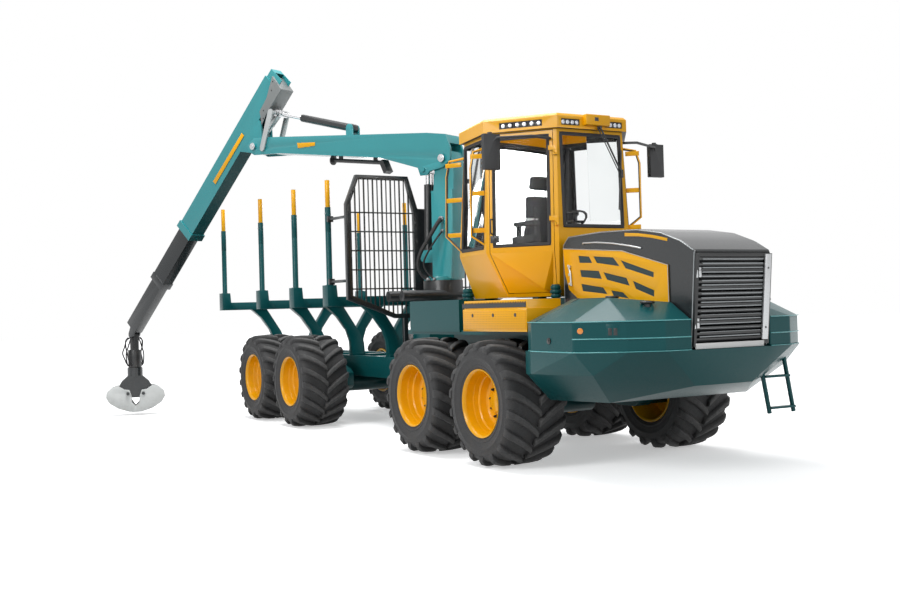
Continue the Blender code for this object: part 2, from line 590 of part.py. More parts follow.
def start_scene():
    """Clear the scene and make the collections of the machine and of its helpers."""
    for thing in list(bpy.data.objects):
        bpy.data.objects.remove(thing, do_unlink=True)
    machine = bpy.data.collections.new(BODY)
    helpers = bpy.data.collections.new("helpers")
    helpers.hide_render = True
    for collection in (machine, helpers):
        bpy.context.scene.collection.children.link(collection)
    return machine, helpers


def paint(name):
    """Give the Principled material of one paint."""
    if name in bpy.data.materials:
        return bpy.data.materials[name]
    red, green, blue, roughness, metallic = PAINTS[name]
    material = bpy.data.materials.new(name)
    material.use_nodes = True
    shader = material.node_tree.nodes["Principled BSDF"]
    shader.inputs["Base Color"].default_value = (red, green, blue, 1)
    shader.inputs["Roughness"].default_value = roughness
    shader.inputs["Metallic"].default_value = metallic
    return material


def helper(mesh):
    """Put a mesh in the helpers' collection as a construction piece."""
    piece = bpy.data.objects.new("piece", mesh)
    HELPERS.objects.link(piece)
    piece.hide_render = True
    piece.display_type = "WIRE"
    return piece


def baked(source):
    """Turn a curve or a modified object into a welded mesh piece."""
    bpy.context.view_layer.update()
    graph = bpy.context.evaluated_depsgraph_get()
    mesh = bpy.data.meshes.new_from_object(source.evaluated_get(graph))
    mesh.transform(source.matrix_world)
    form = bmesh.new()
    form.from_mesh(mesh)
    bmesh.ops.remove_doubles(form, verts=form.verts, dist=WELD)
    bmesh.ops.recalc_face_normals(form, faces=form.faces)
    form.to_mesh(mesh)
    form.free()
    bpy.data.objects.remove(source, do_unlink=True)
    return helper(mesh)


def from_bmesh(form):
    mesh = bpy.data.meshes.new("piece")
    bmesh.ops.recalc_face_normals(form, faces=form.faces)
    form.to_mesh(mesh)
    form.free()
    return helper(mesh)


def block(low, high):
    """A box between two corners."""
    form = bmesh.new()
    bmesh.ops.create_cube(form, size=1)
    low, high = Vector(low), Vector(high)
    middle = (low + high) / 2
    size = high - low
    place = Matrix.Translation(middle) @ Matrix.Diagonal((*size, 1))
    bmesh.ops.transform(form, matrix=place, verts=form.verts)
    return from_bmesh(form)


def rod(start, end, radius, sides=12, spin=0.0):
    """A round bar between two points, its corners turned by spin about its axis."""
    start, end = Vector(start), Vector(end)
    along = end - start
    form = bmesh.new()
    bmesh.ops.create_cone(form, cap_ends=True, segments=sides, radius1=radius, radius2=radius,
                          depth=along.length)
    turn = along.to_track_quat("Z", "Y").to_matrix().to_4x4()
    place = Matrix.Translation((start + end) / 2) @ turn @ Matrix.Rotation(spin, 4, "Z")
    bmesh.ops.transform(form, matrix=place, verts=form.verts)
    return from_bmesh(form)


def hull(points):
    """The faceted solid round a set of corner points."""
    form = bmesh.new()
    for point in points:
        form.verts.new(point)
    made = bmesh.ops.convex_hull(form, input=form.verts)
    loose = [v for v in made["geom_unused"] + made["geom_interior"] if isinstance(v, bmesh.types.BMVert)]
    bmesh.ops.delete(form, geom=list(set(loose)), context="VERTS")
    bmesh.ops.dissolve_limit(form, angle_limit=math.radians(HULL_FLAT_DEG), verts=form.verts,
                             edges=form.edges)
    return from_bmesh(form)


# How a flat outline's own X, Y and normal lie in space, by the plane's name
PLANES = {
    "XY": Matrix.Identity(4),
    "XZ": Matrix.Rotation(math.pi / 2, 4, "X"),
    "YZ": Matrix(((0, 0, 1, 0), (1, 0, 0, 0), (0, 1, 0, 0), (0, 0, 0, 1))),
}


def plate(outline, plane, low, high):
    """A flat outline given thickness from low to high along its plane's normal."""
    curve = bpy.data.curves.new("outline", "CURVE")
    curve.dimensions = "2D"
    curve.fill_mode = "BOTH"
    curve.extrude = abs(high - low) / 2
    spline = curve.splines.new("POLY")
    spline.points.add(len(outline) - 1)
    for point, (across, up) in zip(spline.points, outline):
        point.co = (across, up, 0, 1)
    spline.use_cyclic_u = True
    source = bpy.data.objects.new("outline", curve)
    HELPERS.objects.link(source)
    middle = (low + high) / 2
    shift = {"XY": (0, 0, middle), "XZ": (0, middle, 0), "YZ": (middle, 0, 0)}[plane]
    source.matrix_world = Matrix.Translation(shift) @ PLANES[plane]
    return baked(source)


def pipe(points, radius, resolution=2):
    """A round tube along a route of points."""
    curve = bpy.data.curves.new("route", "CURVE")
    curve.dimensions = "3D"
    curve.bevel_depth = radius
    curve.bevel_resolution = resolution
    curve.use_fill_caps = True
    spline = curve.splines.new("POLY")
    spline.points.add(len(points) - 1)
    for point, place in zip(spline.points, points):
        point.co = (*place, 1)
    source = bpy.data.objects.new("route", curve)
    HELPERS.objects.link(source)
    return baked(source)


def turned(profile, steps, ring=False):
    """A profile of radius and height turned round Z; a ring's profile is closed off the axis."""
    mesh = bpy.data.meshes.new("profile")
    corners = [(radius, 0, height) for radius, height in profile]
    edges = [(i, i + 1) for i in range(len(corners) - 1)]
    if ring:
        edges.append((len(corners) - 1, 0))
    mesh.from_pydata(corners, edges, [])
    source = bpy.data.objects.new("profile", mesh)
    HELPERS.objects.link(source)
    screw = source.modifiers.new("turn", "SCREW")
    screw.axis = "Z"
    screw.angle = math.tau
    screw.steps = steps
    screw.render_steps = steps
    screw.use_merge_vertices = True
    screw.merge_threshold = WELD
    return baked(source)


def moved(piece, matrix):
    """Move a piece's shape by a matrix."""
    piece.data.transform(matrix)
    if matrix.determinant() < 0:
        piece.data.flip_normals()
    return piece


def copied(piece, matrix):
    return moved(helper(piece.data.copy()), matrix)


def mirrored(pieces):
    """The pieces and their copies on the other side of y = 0."""
    across = Matrix.Diagonal((1, -1, 1, 1))
    return list(pieces) + [copied(piece, across) for piece in pieces]


def boolean(base, others, operation):
    """Join to, cut from or meet a piece with others."""
    group = bpy.data.collections.new("group")
    for other in others:
        group.objects.link(other)
    change = base.modifiers.new(operation, "BOOLEAN")
    change.operation = operation
    change.solver = "EXACT"
    change.operand_type = "COLLECTION"
    change.collection = group
    made = baked(base)
    for other in others:
        bpy.data.objects.remove(other, do_unlink=True)
    bpy.data.collections.remove(group)
    return made


def union(pieces):
    pieces = list(pieces)
    return boolean(pieces[0], pieces[1:], "UNION") if len(pieces) > 1 else pieces[0]


def cut(base, cutters):
    return boolean(base, list(cutters), "DIFFERENCE")


def meet(base, other):
    return boolean(base, [other], "INTERSECT")


def finish(name, colour, pieces, cutters=(), carrier=None, pivot=(0, 0, 0)):
    """Make one named node from its pieces, with its origin at its pivot, on its carrier."""
    solid = union(pieces)
    if cutters:
        solid = cut(solid, cutters)
    mesh = solid.data
    mesh.name = name
    bpy.data.objects.remove(solid, do_unlink=True)
    return place(name, colour, mesh, carrier, pivot)


def place(name, colour, mesh, carrier, pivot):
    mesh.transform(Matrix.Translation(-Vector(pivot)))
    mesh.materials.clear()
    mesh.materials.append(paint(colour))
    mesh.shade_smooth()
    mesh.set_sharp_from_angle(angle=math.radians(SMOOTH_DEG))
    node = bpy.data.objects.new(name, mesh)
    MACHINE.objects.link(node)
    attach(node, carrier or ORIGIN, drawing_frame(carrier) @ Matrix.Translation(pivot))
    return node


def attach(thing, carrier, world):
    """Parent a thing to its carrier and stand it at its place in the machine."""
    thing.parent = carrier
    if carrier is not None:
        thing.matrix_parent_inverse = PLACES[carrier.name].inverted()
    thing.matrix_basis = world
    PLACES[thing.name] = world


def drawing_frame(carrier):
    """The frame that pieces on this carrier are drawn in: the machine's, the crane's or a piece's own."""
    while carrier is not None and not carrier.get("drawn_here"):
        carrier = carrier.parent
    return PLACES[carrier.name] if carrier else Matrix.Identity(4)


def empty(name, point, carrier=None, turn=0.0, axis="Z", drawn_here=False):
    """An empty on a joint's axis; pieces of one that is drawn here take its own axes."""
    marker = bpy.data.objects.new(name, None)
    marker["drawn_here"] = drawn_here
    MACHINE.objects.link(marker)
    attach(marker, carrier, drawing_frame(carrier) @ Matrix.Translation(point) @ Matrix.Rotation(turn, 4, axis))
    return marker


def circle(centre, radius, sides, start=0.0):
    """Corner points of a round outline."""
    steps = [start + math.tau * i / sides for i in range(sides)]
    return [(centre[0] + radius * math.cos(a), centre[1] + radius * math.sin(a)) for a in steps]


def box_outline(left, right, low, high):
    return [(left, low), (right, low), (right, high), (left, high)]


def bar_outline(start, end, half, ends=5):
    """The outline of a bar with round ends about two points."""
    across = math.atan2(end[1] - start[1], end[0] - start[0])
    points = []
    for centre, turn in ((end, across - math.pi / 2), (start, across + math.pi / 2)):
        for i in range(ends):
            angle = turn + math.pi * i / (ends - 1)
            points.append((centre[0] + half * math.cos(angle), centre[1] + half * math.sin(angle)))
    return points


# Wheels and axles

def lug_ring(low, high, height, start):
    """Corners of one half's lugs round the tyre at one height: angle, radius and height."""
    pitch = math.tau / LUG_COUNT
    row = ((-LUG_FOOT_SHARE, low), (-LUG_TOP_SHARE, high), (LUG_TOP_SHARE, high), (LUG_FOOT_SHARE, low))
    return [(start + pitch * (i + share / 2), radius, height) for i in range(LUG_COUNT) for share, radius in row]


def plain_ring(radius, height):
    return [(math.tau * i / WHEEL_STEPS, radius, height) for i in range(WHEEL_STEPS)]


def seated(form, ring, sense):
    """A ring's corners as mesh points, each with its angle; sense -1 mirrors the tyre."""
    return [(turn, form.verts.new((radius * math.cos(turn), sense * radius * math.sin(turn), height)))
            for turn, radius, height in ring]


def bridge(form, first, second, matched=False):
    """Join two rings of points with faces, corner to corner or by their angles."""
    count, other = len(first), len(second)
    if matched:
        for i in range(count):
            after = (i + 1) % count
            form.faces.new((first[i][1], first[after][1], second[after][1], second[i][1]))
        return
    start = min(range(other), key=lambda k: abs((second[k][0] - first[0][0] + math.pi) % math.tau - math.pi))
    lag = round((second[start][0] - first[0][0]) / math.tau) * math.tau
    i = j = 0
    while i < count or j < other:
        next_first = first[(i + 1) % count][0] + math.tau * ((i + 1) // count)
        along = start + j + 1
        next_second = second[along % other][0] + math.tau * (along // other) - lag
        a, b = first[i % count][1], second[(start + j) % other][1]
        if j == other or (i < count and next_first <= next_second):
            form.faces.new((a, first[(i + 1) % count][1], b))
            i += 1
        else:
            form.faces.new((a, second[along % other][1], b))
            j += 1


def tyre_mesh(sense):
    """A tyre about Z with two staggered rows of leaning lugs; sense is the way they lean."""
    form = bmesh.new()
    pitch = math.tau / LUG_COUNT
    lean = math.radians(LUG_LEAN_DEG)
    half, bead = TYRE_WIDTH / 2, BEAD_WIDTH / 2 - BEAD_INSET
    ground = -math.pi / 2 - pitch * LUG_TOP_SHARE / 2
    rows = []
    for side in (1, -1):
        start = ground + (side < 0) * pitch / 2
        inner = seated(form, lug_ring(CARCASS_RADIUS, TYRE_RADIUS, side * LUG_END, start), sense)
        height = side * (half - SHOULDER_INSET)
        outer = seated(form, lug_ring(SHOULDER_CARCASS_RADIUS, SHOULDER_RADIUS, height, start + lean), sense)
        wall = seated(form, plain_ring(SIDEWALL_RADIUS, side * half), sense)
        bore = seated(form, plain_ring(RIM_RADIUS + TOUCH, side * bead), sense)
        bridge(form, inner, outer, True)
        bridge(form, outer, wall)
        bridge(form, wall, bore, True)
        rows.append((inner, bore))
    bridge(form, rows[0][0], rows[1][0])
    bridge(form, rows[0][1], rows[1][1], True)
    return from_bmesh(form).data


def rim_mesh():
    """A deep dished rim about Z, its outer face upwards."""
    face = BEAD_WIDTH / 2 + RIM_FLANGE_WIDTH
    bead = BEAD_WIDTH / 2 + TOUCH
    inner = RIM_RADIUS - RIM_WALL
    disc = RIM_DISC_OFFSET + RIM_DISC_THICKNESS
    hub = disc + RIM_HUB_HEIGHT
    profile = [(0, hub), (RIM_HUB_RADIUS * HUB_TOP_SHARE, hub), (RIM_HUB_RADIUS, disc), (inner, disc),
               (inner, face), (RIM_FLANGE_RADIUS, face), (RIM_FLANGE_RADIUS, bead), (RIM_RADIUS, bead),
               (RIM_RADIUS, -bead), (RIM_FLANGE_RADIUS, -bead), (RIM_FLANGE_RADIUS, -face), (inner, -face),
               (inner, RIM_DISC_OFFSET), (0, RIM_DISC_OFFSET)]
    return turned(profile, WHEEL_STEPS).data


def build_wheels():
    """Eight wheels; each one's empty is on its hub's axis, with local Z pointing outwards."""
    rim = rim_mesh()
    for side_name, side in (("right", -1), ("left", 1)):
        tyre = tyre_mesh(-side)
        for number, x in enumerate(WHEEL_XS, 1):
            name = f"{side_name}_{number}"
            centre = (x, side * TRACK / 2, TYRE_RADIUS)
            hub = empty(f"wheel_{name}", centre, STEER if x > 0 else ORIGIN, -side * math.pi / 2, "X", True)
            place(f"tyre_{name}", "rubber", tyre.copy(), hub, (0, 0, 0))
            place(f"rim_{name}", "yellow", rim.copy(), hub, (0, 0, 0))


def build_axle(name, centre_x):
    """One axle housing with its two bogie boxes and four stub hubs."""
    half = BOGIE_LENGTH / 2
    outline = [(centre_x + x * half, z_low + (z_high - z_low) * z)
               for x, z, z_low, z_high in [(x, z, TYRE_RADIUS - HUB_RADIUS, BOGIE_TOP) for x, z in BOGIE_SHARES]]
    hub_end = TRACK / 2 + RIM_DISC_OFFSET - PIN_GAP
    side = [plate(outline, "XZ", BOGIE_INNER, BOGIE_OUTER)]
    for wheel in (-1, 1):
        x = centre_x + wheel * BOGIE_SPACING / 2
        side.append(rod((x, BOGIE_OUTER - OVERLAP, TYRE_RADIUS), (x, hub_end, TYRE_RADIUS), HUB_RADIUS, 16))
    pieces = mirrored(side)
    reach = BOGIE_INNER + OVERLAP
    pieces.insert(0, rod((centre_x, -reach, AXLE_HEIGHT), (centre_x, reach, AXLE_HEIGHT), AXLE_RADIUS, 16))
    saddle = FRAME_HALF_WIDTH - FRAME_WALL
    for y in (-saddle, saddle):
        low = (centre_x - AXLE_RADIUS, y - FRAME_WALL, AXLE_HEIGHT)
        high = (centre_x + AXLE_RADIUS, y + FRAME_WALL, FRAME_BOTTOM - TOUCH)
        pieces.append(block(low, high))
    finish(name, "teal", pieces, (), STEER if centre_x > 0 else None)


# Rear part

def fork_plates():
    """The rear frame's two plates above and below the pivot block, tapering to the pivot."""
    plates = []
    half = FRONT_PIVOT_HEIGHT / 2 + CLEAR
    middle = PIVOT_HEIGHT
    for sign in (-1, 1):
        start = middle + sign * half
        nose = JOINT_RADIUS * NOSE_SHARE
        outline = [(REAR_NOSE - OVERLAP, -PEDESTAL_HALF_WIDTH), (JOINT_X, -JOINT_RADIUS),
                   (JOINT_X + nose, -nose), (JOINT_X + nose, nose), (JOINT_X, JOINT_RADIUS),
                   (REAR_NOSE - OVERLAP, PEDESTAL_HALF_WIDTH)]
        plates.append(plate(outline, "XY", start, start + sign * FORK_THICKNESS))
    return plates


def build_rear_frame():
    half = FRAME_HALF_WIDTH
    pieces = [block((REAR_END, -half, FRAME_BOTTOM), (REAR_NOSE, half, REAR_FRAME_TOP))]
    pieces.append(block((PEDESTAL_BACK, -PEDESTAL_HALF_WIDTH, FRAME_BOTTOM + OVERLAP),
                        (REAR_NOSE + OVERLAP, PEDESTAL_HALF_WIDTH, PEDESTAL_TOP)))
    pieces.extend(fork_plates())
    pin_low = PIVOT_HEIGHT - FRONT_PIVOT_HEIGHT
    pin_high = PIVOT_HEIGHT + FRONT_PIVOT_HEIGHT
    pieces.append(rod((JOINT_X, 0, pin_low), (JOINT_X, 0, pin_high), JOINT_PIN_RADIUS, 16))
    cutters = []
    for start, end in zip(BAY_XS[:-1], BAY_XS[1:]):
        low = (start + FRAME_WALL, -half + FRAME_WALL, FRAME_BOTTOM + FRAME_WALL)
        high = (end - FRAME_WALL, half - FRAME_WALL, REAR_FRAME_TOP + OVERRUN)
        cutters.append(block(low, high))
    finish("rear_frame", "teal", pieces, cutters)


def build_bolster(number, x):
    """A cross beam with sockets, its stakes and two bent legs down to the frame."""
    low, high = x - BOLSTER_THICKNESS / 2, x + BOLSTER_THICKNESS / 2
    inner = low + BOLSTER_INSET
    outer = high - BOLSTER_INSET
    reach = STAKE_Y - SOCKET_RADIUS / 2
    pieces = [block((low, -reach, BEAM_BOTTOM), (high, reach, BEAM_TOP))]
    span = BEAM_BOTTOM + OVERLAP - REAR_FRAME_TOP
    side = []
    leg = [(y * LEG_HEAD_Y, REAR_FRAME_TOP + TOUCH + z * span) for y, z in LEG_SHARES]
    side.append(plate(leg, "YZ", inner, outer))
    foot = block((low, LEG_FOOT_Y - LEG_WIDTH, REAR_FRAME_TOP + TOUCH),
                 (high, FRAME_HALF_WIDTH, REAR_FRAME_TOP + BOLSTER_FOOT))
    side.append(foot)
    socket = [(STAKE_Y - (y_share * SOCKET_RADIUS), BEAM_BOTTOM + z_share * (SOCKET_TOP - BEAM_BOTTOM))
              for y_share, z_share in SOCKET_SHARES]
    side.append(plate(socket, "YZ", low - BOLSTER_INSET, high + BOLSTER_INSET))
    side.append(rod((x, STAKE_Y, BEAM_TOP), (x, STAKE_Y, STAKE_SLEEVE_TOP), STAKE_RADIUS, 10))
    side.append(rod((x, STAKE_Y, STAKE_SLEEVE_TOP - OVERLAP), (x, STAKE_Y, STAKE_TOP), STAKE_TIP_RADIUS, 10))
    finish(f"bolster_{number}", "teal", pieces + mirrored(side))


def headboard_side():
    """Points of the headboard's frame on the left, from its middle notch round to its middle bottom."""
    return [(0, HEADBOARD_NOTCH), (HEADBOARD_NOTCH_Y, HEADBOARD_NOTCH),
            (HEADBOARD_NOTCH_TOP_Y, HEADBOARD_TOP), (HEADBOARD_SHOULDER_Y, HEADBOARD_TOP),
            (HEADBOARD_HALF_WIDTH, HEADBOARD_CORNER), (HEADBOARD_HALF_WIDTH, HEADBOARD_SIDE_BOTTOM),
            (HEADBOARD_BOTTOM_Y, HEADBOARD_BOTTOM), (0, HEADBOARD_BOTTOM)]


def height_at(y, points):
    """Where a line through the points, ordered by y, stands at y."""
    for (y0, z0), (y1, z1) in zip(points[:-1], points[1:]):
        if y0 <= y <= y1:
            return z0 + (z1 - z0) * (y - y0) / (y1 - y0)
    return points[-1][1]


def build_headboard():
    half = HEADBOARD_TUBE
    side = headboard_side()
    ring = side + [(-y, z) for y, z in reversed(side[1:-1])]
    thick = (HEADBOARD_X - half, HEADBOARD_X + half)
    pieces = [plate(ring, "YZ", *thick)]
    top = side[:5]
    bottom = [side[7], side[6], side[5]]
    # The middle bay carries a solid plate, and bays of bars fill each side of it.
    edge = half * 2
    bay = [(HEADBOARD_NOTCH_Y + edge, HEADBOARD_NOTCH - edge),
           (HEADBOARD_NOTCH_TOP_Y + edge / 2, HEADBOARD_TOP - edge),
           (HEADBOARD_SHOULDER_Y - edge / 2, HEADBOARD_TOP - edge),
           (HEADBOARD_HALF_WIDTH - edge, HEADBOARD_CORNER - edge / 4),
           (HEADBOARD_HALF_WIDTH - edge, HEADBOARD_SIDE_BOTTOM + edge), (HEADBOARD_BOTTOM_Y, HEADBOARD_BOTTOM + edge),
           (HEADBOARD_NOTCH_Y + edge, HEADBOARD_BOTTOM + edge)]
    cutters = mirrored([plate(bay, "YZ", thick[0] - OVERRUN, thick[1] + OVERRUN)])
    frame = cut(union(pieces), cutters)
    bars = headboard_braces()
    y = HEADBOARD_NOTCH_Y + edge + GRILLE_PITCH / 2
    while y < HEADBOARD_HALF_WIDTH - edge:
        low = height_at(y, bottom) + half
        high = height_at(y, top) - half
        bars.append(block((HEADBOARD_X - GRILLE_BAR, y - GRILLE_BAR, low),
                          (HEADBOARD_X + GRILLE_BAR, y + GRILLE_BAR, high)))
        y += GRILLE_PITCH
    rise = (HEADBOARD_CORNER - HEADBOARD_SIDE_BOTTOM) / GRILLE_ROWS
    for i in range(1, GRILLE_ROWS + 1):
        z = HEADBOARD_SIDE_BOTTOM + rise * (i - ROW_SHARE)
        low = (HEADBOARD_X, HEADBOARD_NOTCH_Y + half, z - GRILLE_BAR)
        high = (HEADBOARD_X + 2 * GRILLE_BAR, HEADBOARD_HALF_WIDTH - half, z + GRILLE_BAR)
        bars.append(block(low, high))
    finish("headboard", "charcoal", [frame] + mirrored(bars) + headboard_feet())


def headboard_braces():
    """Two braces on the left from the frame's upright to the nearest stake, each with a clamp at the stake."""
    braces = []
    start = BOLSTER_XS[-1] + STAKE_RADIUS + TOUCH
    inner = HEADBOARD_HALF_WIDTH - HEADBOARD_TUBE
    for height in BRACE_HEIGHTS:
        low = (start, STAKE_Y - CLAMP_HALF, height - CLAMP_HALF)
        high = (start + CLAMP_DEPTH, STAKE_Y + CLAMP_HALF, height + CLAMP_HALF)
        braces.append(block(low, high))
        inside = start + CLAMP_DEPTH / 2
        braces.append(rod((inside, STAKE_Y, height), (HEADBOARD_X, inner, height), BRACE_RADIUS, 8))
    return braces


def headboard_feet():
    """Two posts that carry the headboard on the frame."""
    feet = []
    for y in (-HEADBOARD_FOOT_Y, HEADBOARD_FOOT_Y):
        low = (HEADBOARD_X - HEADBOARD_TUBE, y - HEADBOARD_TUBE, REAR_FRAME_TOP + TOUCH)
        high = (HEADBOARD_X + HEADBOARD_TUBE, y + HEADBOARD_TUBE, HEADBOARD_BOTTOM + OVERLAP)
        feet.append(block(low, high))
    return feet


def build_slew_base():
    """The slewing housing on its pedestal, with two rack cylinders across the machine."""
    low = PEDESTAL_TOP + TOUCH
    pieces = [rod((SLEW_X, 0, low), (SLEW_X, 0, SLEW_BASE_TOP), SLEW_HOUSING_RADIUS, 20)]
    for x in (SLEW_X - SLEW_CYLINDER_OFFSET, SLEW_X + SLEW_CYLINDER_OFFSET):
        start = (x, -SLEW_CYLINDER_HALF_LENGTH, SLEW_CYLINDER_Z)
        end = (x, SLEW_CYLINDER_HALF_LENGTH, SLEW_CYLINDER_Z)
        pieces.append(rod(start, end, SLEW_CYLINDER_RADIUS, 12))
    finish("slew_base", "black", pieces)


# Front part

def deck_boxes():
    """The two storage boxes behind the cab and the four blocks that the cab stands on."""
    boxes = [block((REAR_BOX_START, REAR_BOX_INNER, DECK_TOP - OVERLAP),
                   (REAR_BOX_END, REAR_BOX_OUTER, REAR_BOX_TOP))]
    for x, y in CAB_MOUNT_PLACES:
        low = (x - CAB_MOUNT / 2, y - CAB_MOUNT / 2, DECK_TOP - OVERLAP)
        high = (x + CAB_MOUNT / 2, y + CAB_MOUNT / 2, CAB_FLOOR - TOUCH)
        boxes.append(block(low, high))
    return boxes


def belly():
    """The faceted hull that closes the front frame in from below, as a ship's bow does."""
    corners = []
    for x, y, z in HULL_CORNERS:
        corners.extend([(x, y, z), (x, -y, z)])
    return hull(corners)


def ladder():
    """A two-rung ladder that hangs at the left front corner."""
    pieces = []
    for y in (LADDER_Y, LADDER_Y + LADDER_WIDTH):
        top = (LADDER_X, y - LADDER_LEAN * (LADDER_TOP - LADDER_BOTTOM) / LADDER_TOP, LADDER_TOP)
        pieces.append(rod(top, (LADDER_X, y, LADDER_BOTTOM), LADDER_TUBE, 8))
    for share in LADDER_RUNG_SHARES:
        z = LADDER_BOTTOM + share * (LADDER_TOP - LADDER_BOTTOM)
        shift = LADDER_LEAN * (z - LADDER_BOTTOM) / LADDER_TOP
        low = (LADDER_X - LADDER_TUBE, LADDER_Y - shift, z - LADDER_TUBE / 2)
        high = (LADDER_X + 2 * LADDER_TUBE, LADDER_Y + LADDER_WIDTH - shift, z + LADDER_TUBE / 2)
        pieces.append(block(low, high))
    return pieces


def build_front_frame():
    half = FRAME_HALF_WIDTH
    pieces = [block((FRONT_FRAME_START, -half, FRAME_BOTTOM), (FRONT_FRAME_END, half, FRONT_FRAME_TOP))]
    low, high = PIVOT_HEIGHT - FRONT_PIVOT_HEIGHT / 2, PIVOT_HEIGHT + FRONT_PIVOT_HEIGHT / 2
    pieces.append(block((JOINT_X, -JOINT_RADIUS, low), (FRONT_FRAME_START + OVERLAP, JOINT_RADIUS, high)))
    pieces.append(rod((JOINT_X, 0, low), (JOINT_X, 0, high), JOINT_RADIUS, 16))
    pieces.append(block((FRONT_FRAME_START + FRAME_WALL, -half + FRAME_WALL, FRONT_FRAME_TOP - OVERLAP),
                        (HOOD_BACK - FRAME_WALL, half - FRAME_WALL, DECK_BOTTOM + OVERLAP)))
    pieces.append(block((DECK_START, -DECK_HALF_WIDTH, DECK_BOTTOM),
                        (HOOD_BACK - DECK_GAP, DECK_HALF_WIDTH, DECK_TOP)))
    wing = [block((HOOD_BACK - DECK_GAP - OVERLAP, HOOD_HALF_WIDTH + DECK_GAP, DECK_BOTTOM),
                  (DECK_END, DECK_HALF_WIDTH, DECK_TOP))]
    pieces.extend(mirrored(wing))
    pieces.append(belly())
    pieces.extend(ladder())
    pieces.extend(mirrored(deck_boxes()))
    cutters = [bore((JOINT_X, 0, low - OVERRUN), (JOINT_X, 0, high + OVERRUN), JOINT_PIN_RADIUS, 16)]
    finish("front_frame", "teal", pieces, cutters, STEER)


def bore(start, end, radius, sides):
    """A round cutter whose flats face the corners of a pin of this radius and stand clear of them."""
    return rod(start, end, (radius + PIN_GAP) / math.cos(math.pi / sides), sides, math.pi / sides)


def build_tanks():
    for name, side in (("right", -1), ("left", 1)):
        corners = [(x, side * y, z) for x, y, z in TANK_CORNERS]
        finish(f"tank_{name}", "teal", [hull(corners)], (), STEER)


def build_step_boxes():
    """Yellow boxes with slots in their outer walls, under the tread beside the cab."""
    wall = STEP_WALL
    for name, side in (("right", -1), ("left", 1)):
        bottom = DECK_TOP + TOUCH
        pieces = [block((STEP_START, STEP_INNER, bottom), (STEP_END, STEP_OUTER, STEP_SHELF))]
        tread = [(STEP_START + wall, STEP_INNER + wall, STEP_SHELF - OVERLAP / 2),
                 (STEP_END - wall, STEP_OUTER - wall, STEP_TOP)]
        pieces.append(block(*tread))
        hollow = block((STEP_START + wall, STEP_INNER + wall, bottom + wall),
                       (STEP_END - wall, STEP_OUTER - wall, STEP_SHELF - OVERLAP))
        cutters = [hollow]
        pitch = (STEP_END - STEP_START) / STEP_SLOTS
        for i in range(STEP_SLOTS):
            x = STEP_START + pitch * (i + 1 / 2)
            low = (x - pitch * STEP_SLOT_SHARE, STEP_OUTER - OVERRUN, bottom + STEP_SLOT_LOW)
            high = (x + pitch * STEP_SLOT_SHARE, STEP_OUTER + OVERRUN, bottom + STEP_SLOT_HIGH)
            cutters.append(block(low, high))
        if side < 0:
            flip = Matrix.Diagonal((1, -1, 1, 1))
            pieces = [moved(piece, flip) for piece in pieces]
            cutters = [moved(piece, flip) for piece in cutters]
        finish(f"step_box_{name}", "yellow", pieces, cutters, STEER)


def hood_outline(inset=0.0):
    """The hood from the side; an inset draws its inner face."""
    top = [(x, z - inset) for x, z in HOOD_TOP_LINE]
    top[0] = (top[0][0] + inset, top[0][1])
    front = (HOOD_FRONT_BOTTOM_X, HOOD_BOTTOM)
    back = (HOOD_BACK + inset, HOOD_BOTTOM)
    return [back] + top + [front]


def build_hood():
    half = HOOD_HALF_WIDTH
    pieces = [plate(hood_outline(), "XZ", -half, half)]
    inner = hood_outline(HOOD_WALL)
    ahead = [(x + (OVERRUN if x > HOOD_FRONT_BOTTOM_X - HOOD_WALL else 0),
              z - (OVERRUN if z < HOOD_BOTTOM + HOOD_WALL else 0))
             for x, z in inner]
    cutter = plate(ahead, "XZ", -half + HOOD_WALL, half - HOOD_WALL)
    finish("hood", "charcoal", pieces, [cutter], STEER)


def panel_outline(shares):
    return [(PANEL_START + PANEL_LENGTH * x, PANEL_LOW + PANEL_HEIGHT * z) for x, z in shares]


def build_hood_panels():
    """A side panel with slanting slots on each side of the hood."""
    near = HOOD_HALF_WIDTH + TOUCH
    far = near + PANEL_THICKNESS
    for name, side in (("right", -1), ("left", 1)):
        panel = plate(panel_outline(PANEL_SHARES), "XZ", *sorted((side * near, side * far)))
        slots = [plate(panel_outline(slot), "XZ", *sorted((side * (near - OVERRUN), side * (far + OVERRUN))))
                 for slot in PANEL_SLOT_SHARES]
        finish(f"hood_panel_{name}", "yellow", [panel], slots, STEER)


def build_grille():
    """The radiator grille: a framed door of level louvres on the hood's slanting front."""
    low, high = GRILLE_LOW, GRILLE_HIGH
    half = HOOD_HALF_WIDTH
    rise = high - low
    lean = math.atan2(HOOD_FRONT_TOP_X - HOOD_FRONT_BOTTOM_X, HOOD_FRONT_TOP - HOOD_BOTTOM)
    tall = rise / math.cos(lean)
    frame = block((0, 0, 0), (GRILLE_THICKNESS, 2 * half, tall))
    hole = block((-OVERRUN, GRILLE_MARGIN, GRILLE_MARGIN),
                 (GRILLE_THICKNESS + OVERRUN, 2 * half - GRILLE_MARGIN, tall - GRILLE_MARGIN))
    pieces = [cut(frame, [hole])]
    pitch = (tall - 2 * GRILLE_MARGIN) / GRILLE_LOUVRES
    for i in range(GRILLE_LOUVRES):
        z = GRILLE_MARGIN + pitch * (i + 1 / 2)
        blade = [(LOUVRE_DEPTH * x, z + pitch * y) for x, y in LOUVRE_SHARES]
        pieces.append(plate(blade, "XZ", -2 * half + GRILLE_MARGIN / 2, -GRILLE_MARGIN / 2))
        moved(pieces[-1], Matrix.Rotation(math.pi, 4, "Z") @ Matrix.Diagonal((-1, 1, 1, 1)))
    foot = Vector((HOOD_FRONT_BOTTOM_X + (low - HOOD_BOTTOM) * math.tan(lean) + TOUCH * 2, -half, low))
    hinge = empty("grille_hinge", foot, STEER, lean, "Y", True)
    finish("radiator_grille", "black", pieces, (), hinge)


